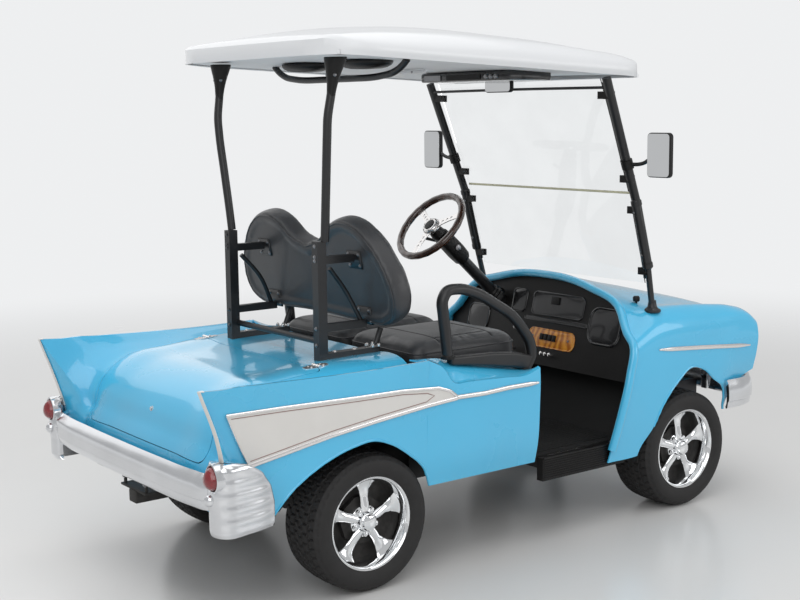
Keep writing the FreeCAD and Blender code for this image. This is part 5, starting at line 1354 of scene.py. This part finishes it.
def hand_wheel():
    """A grained rim with finger swells, three drilled spokes and a plain round boss."""
    rings = []
    for a in turns(120):
        grip = 15.2 + 0.9 * abs(math.sin(11 * a)) ** 1.5
        section = [(WHEEL_R + grip * math.cos(t), grip * math.sin(t) - 1) for t in turns(18)]
        rings.append([(r * math.cos(a), r * math.sin(a), z) for r, z in section])
    parts = [sheet("rim", rings + rings[:1], GRIP, closed=True)]
    parts += [wheel_spoke(math.radians(turn)) for turn in (90, 210, 330)]
    boss = [(-16, 0.5), (-16, 40), (-4, 42), (3, 40), (8, 36), (10, 30), (10, 28), (8, 27), (8, 0.5)]
    cap = [(7, 0.5), (7, 26), (11, 25), (13, 18), (13.6, 0.5)]
    cone = [(-60, 30), (-58, 34), (-34, 30), (-16, 24), (-14, 10)]
    parts += [turned("boss", boss, TRIM, 56, axis="z"), turned("boss_cap", cap, PLASTIC, 48, axis="z"),
              turned("cone", cone, PLASTIC, 40, axis="z"),
              bolts("boss_screw", [(34 * math.cos(a), 34 * math.sin(a), 9) for a in turns(6)], 2.6, STEEL)]
    return shade(set_in(join("hand_wheel", parts), HUB, COLUMN_LEAN), 40)


def rounder(value):
    """Push a sine or cosine outwards, for a section between an oval and a box."""
    return math.copysign(abs(value) ** 0.7, value)


def column():
    """A tube in a shroud, with a ribbed boot at its foot, a key lock and a stalk on its left."""
    rings = []
    for along, wide, deep in ((-62, 25, 24), (-66, 33, 32), (-100, 37, 38), (-190, 36, 40), (-235, 33, 37),
                              (-250, 27, 28), (-252, 20, 20)):
        rings.append([(wide * rounder(math.cos(a)), deep * rounder(math.sin(a)) - 5, along)
                      for a in turns(36)])
    boot = [(-470, 27), (-478, 34), (-486, 30), (-494, 38), (-502, 34), (-510, 42), (-520, 46), (-530, 30)]
    key = turned("key", [(-4, 14), (6, 14), (8, 11), (8, 0.5)], STEEL, 28)
    parts = [tube("shroud", rings, PLASTIC),
             turned("tube", [(-606, 0.5), (-606, 26), (-250, 26), (-248, 0.5)], BLACK, 36, axis="z"),
             turned("boot", boot, PLASTIC, 36, axis="z"),
             rod("stalk", [(30, 0, -120), (70, 4, -108), (112, 8, -92)], lambda t: 5 + 2.5 * t, PLASTIC, 14),
             set_in(key, (-38, -6, -160), 180, "Z")]
    return shade(set_in(join("column_shroud", parts), HUB, COLUMN_LEAN))


keep(hand_wheel(), "wheel_grip", "steering_wheel", body="steering_wheel")
keep(column(), "black_paint", "steering_column")


# Ribs of the mat, the floor and the sills
def line_bars(name, lines, radius, mat, sides=6, flat=1.0):
    """Straight bars side by side."""
    return [rod(name, line, radius, mat, sides, flat, 0) for line in lines]


lines = [((x, -535, 353.6), (x, -104, 353.6)) for x in range(-480, -95, 24)]
keep(join("mat_ribs", line_bars("rib", lines, 3.2, MAT, flat=0.5)), "rubber")
lines = [((x, -455, 350.8), (x, -60, 350.8)) for x in range(60, 477, 32)]
keep(join("floor_ribs", line_bars("rib", lines, 2.6, MAT, flat=0.5)), "rubber")
parts = []
for side in (1, -1):
    lines = [((side * 577, -572, z), (side * 577, -118, z)) for z in range(262, 335, 9)]
    parts += line_bars("rib", lines, 1.6, PLASTIC)
    parts += line_bars("edge", [((side * 573, -574, 343), (side * 573, -116, 343))], 4, PLASTIC, 10)
keep(join("sill_ribs", parts), "dark_plastic")

# Grille
GRILLE_HALF, GRILLE_LOW, GRILLE_HIGH = 356, 589, 711


def grille_work():
    """A mesh of fine bars in a frame, a thicker bar in front of it and two marker lamps."""
    rows = [594 + 11.2 * index for index in range(11)]
    columns = [-350 + 17.5 * index for index in range(41)]
    half, low, high = GRILLE_HALF, GRILLE_LOW, GRILLE_HIGH
    outline = [(-half, low), (half, low), (half, high), (-half, high), (-half, low)]
    bar = [(-330, -1398, 618), (-180, -1404, 622), (0, -1407, 624), (180, -1404, 622), (330, -1398, 618)]
    parts = line_bars("bar", [((4 - half, -1391, z), (half - 4, -1391, z)) for z in rows], 2.0, TRIM, 8)
    parts += line_bars("bar", [((x, -1389, low + 1), (x, -1389, high - 1)) for x in columns], 1.5, TRIM)
    parts.append(rod("frame", [(x, -1392, z) for x, z in outline], 6, TRIM, 14, steps=0))
    parts.append(rod("bar", bar, lambda t: 7 + 6 * math.sin(math.pi * t), TRIM, 18))
    marker = [(-1400, 0.5), (-1400, 20), (-1396, 26), (-1389, 28), (-1385, 20)]
    ring = [(-1386, 26), (-1396, 30), (-1400, 29), (-1400, 26), (-1386, 24)]
    for x in (205, -205):
        parts += [turned("marker", marker, LENS, 40, (x, 0, 650), "y"),
                  turned("marker_ring", ring, TRIM, 40, (x, 0, 650), "y")]
    return join("grille_work", parts)


keep(grille_work(), "chrome")

# Headlamps, bumper guards and the knobs on the cowl
LAMP_LENS = [(-1404, 0.5), (-1403, 20), (-1399, 42), (-1391, 60), (-1384, 67), (-1380, 67), (-1380, 0.5)]
LAMP_BOWL = [(-1378, 66), (-1368, 58), (-1358, 30), (-1356, 0.5)]
LAMP_RING = [(-1382, 66), (-1392, 68), (-1402, 74), (-1404, 80), (-1398, 86), (-1386, 88), (-1382, 88),
             (-1382, 66)]
BULLET = [(-1492, 0.5), (-1488, 10), (-1478, 19), (-1462, 26), (-1440, 29), (-1438, 10)]
KNOB = [(-20, 5), (0, 5), (1, 12), (6, 15), (18, 15), (24, 11), (25, 0.5)]


def lamp_hood(name, x):
    """A hood over a headlamp, deepest at its top."""
    rows = []
    for angle in range(-70, 71, 7):
        a = math.radians(angle)
        brim = -1412 - 14 * math.cos(a)
        row = [(x + r * math.sin(a), y, LAMP_Z + r * math.cos(a))
               for y, r in ((-1380, 90), (brim, 93), (brim, 89), (-1380, 87))]
        rows.append(row + row[:1])
    return sheet(name, rows, BLUE)


for word, side in SIDES:
    place = (side * LAMP_X, 0, LAMP_Z)
    keep(turned("headlamp_lens_" + word, LAMP_LENS, LENS, 72, place, "y"), "clear_lens", "headlamps")
    keep(turned("headlamp_bowl_" + word, LAMP_BOWL, BOWL, 56, place, "y"), "chrome")
    keep(turned("headlamp_ring_" + word, LAMP_RING, CHROME, 72, place, "y"), "chrome")
    keep(lamp_hood("headlamp_hood_" + word, side * LAMP_X), "body_paint")
    x = side * 262
    guard = [turned("bullet", BULLET, CHROME, 40, (x, 0, 492), "y"),
             block("guard", (x - 20, -1470, 398), (x + 20, -1440, 470), CHROME, 8)]
    keep(join("bumper_guard_" + word, guard), "chrome")
    place = FRONT_TREE.ray_cast(V((side * 466, -752, 1300)), V((0, 0, -1)))[0] + V((0, 0, 6))
    keep(set_in(turned("cowl_knob_" + word, KNOB, PLASTIC, 28, axis="z"), place), "dark_plastic")

FRONT_BAR = [(0, -1480), (300, -1468), (500, -1435), (590, -1380), (628, -1290), (632, -1172)]
FRONT_PROFILE = [(-28, 520), (-24, 528), (-14, 529), (-4, 508), (0, 478), (1, 456), (0, 436), (-6, 430),
                 (-6, 424), (-9, 404), (-16, 400), (-20, 408), (-14, 424), (-13, 460), (-16, 490), (-24, 512)]
keep(swept_bar("front_bumper_bar", FRONT_BAR, FRONT_PROFILE, -1), "chrome", "front_bumper")


# Light, floor and backdrop
FLOOR_HALF = 9000


def area(name, place, target, size, power):
    """A rectangular lamp that faces a target, in metres."""
    data = bpy.data.lights.new(name, "AREA")
    data.shape = "RECTANGLE"
    data.size, data.size_y = size
    data.energy = power
    lamp = link(name, data)
    lamp.location = place
    lamp.rotation_euler = (V(target) - V(place)).to_track_quat("-Z", "Y").to_euler()


def studio_world():
    """A pale backdrop, brighter to the camera and through glass than it lights the cart."""
    scene.world = bpy.data.worlds.new("studio")
    scene.world.use_nodes = True
    tie = scene.world.node_tree.links.new
    background = put(scene.world.node_tree.nodes["Background"], Color=(0.93, 0.94, 0.95, 1))
    path = new_node(scene.world, "LightPath")
    seen = new_node(scene.world, "Math")
    seen.operation = "MAXIMUM"
    tie(path.outputs["Is Camera Ray"], seen.inputs[0])
    tie(path.outputs["Is Transmission Ray"], seen.inputs[1])
    level = new_node(scene.world, "MapRange", To_Min=0.55, To_Max=0.92)
    tie(seen.outputs[0], level.inputs["Value"])
    tie(level.outputs["Result"], background.inputs["Strength"])


def fade_out(mat, near, far, color):
    """Let a floor run into the background's white with distance."""
    tie = mat.node_tree.links.new
    place = new_node(mat, "TexCoord")
    reach = new_node(mat, "VectorMath")
    reach.operation = "LENGTH"
    tie(place.outputs["Object"], reach.inputs[0])
    share = new_node(mat, "MapRange", From_Min=near, From_Max=far)
    share.interpolation_type = "SMOOTHSTEP"
    tie(reach.outputs["Value"], share.inputs["Value"])
    glow = new_node(mat, "Emission", Color=color)
    mix = new_node(mat, "MixShader")
    tie(share.outputs["Result"], mix.inputs["Fac"])
    tie(shader_of(mat).outputs["BSDF"], mix.inputs[1])
    tie(glow.outputs["Emission"], mix.inputs[2])
    tie(mix.outputs["Shader"], mat.node_tree.nodes["Material Output"].inputs["Surface"])


area("overhead", (0, 0.3, 5.0), (0, 0, 0.5), (7, 7), 150)
area("key", (-4.8, 4.2, 3.9), (0, 0, 0.7), (5, 4), 105)
area("side_fill", (-5.0, -3.5, 2.6), (0, -0.4, 0.8), (3.5, 2.5), 50)
area("rim_light", (5.0, 0.5, 3.4), (0, 0, 0.8), (5, 4), 42)
studio_world()
pale = material("pale_floor", (0.76, 0.755, 0.745), 0.25, tone=0.02, tone_scale=0.5, rough_spread=0.06)
fade_out(pale, 2.4, 8.0, (0.856, 0.865, 0.874, 1))
floor_corners = [(x * FLOOR_HALF, y * FLOOR_HALF, 0) for x, y in ((-1, -1), (1, -1), (1, 1), (-1, 1))]
from_faces("floor", floor_corners, [(0, 1, 2, 3)], pale, 0)
scene.view_settings.view_transform = "Standard"

# Carried-over solids keep their shape and take these finishes
FINISH = {
    "body_paint": BLUE, "white_paint": CREAM, "black_paint": BLACK, "chrome": CHROME, "alloy": WHEEL,
    "steel": STEEL, "iron": IRON, "tyre": RUBBER, "rubber": MAT, "dark_plastic": PLASTIC, "wheel_grip": BLACK,
    "vinyl": VINYL, "red_lens": RED, "clear_lens": LENS, "glass": GLASS,
}
for entry in frame["record"]["subparts"]:
    thing = frame["nodes"].get(entry["node"])
    if thing is not None and thing.type == "MESH":
        finish = FINISH[entry["material_slot"]]
        if not thing.data.materials:
            thing.data.materials.append(finish)
        for index in range(len(thing.data.materials)):
            thing.data.materials[index] = finish
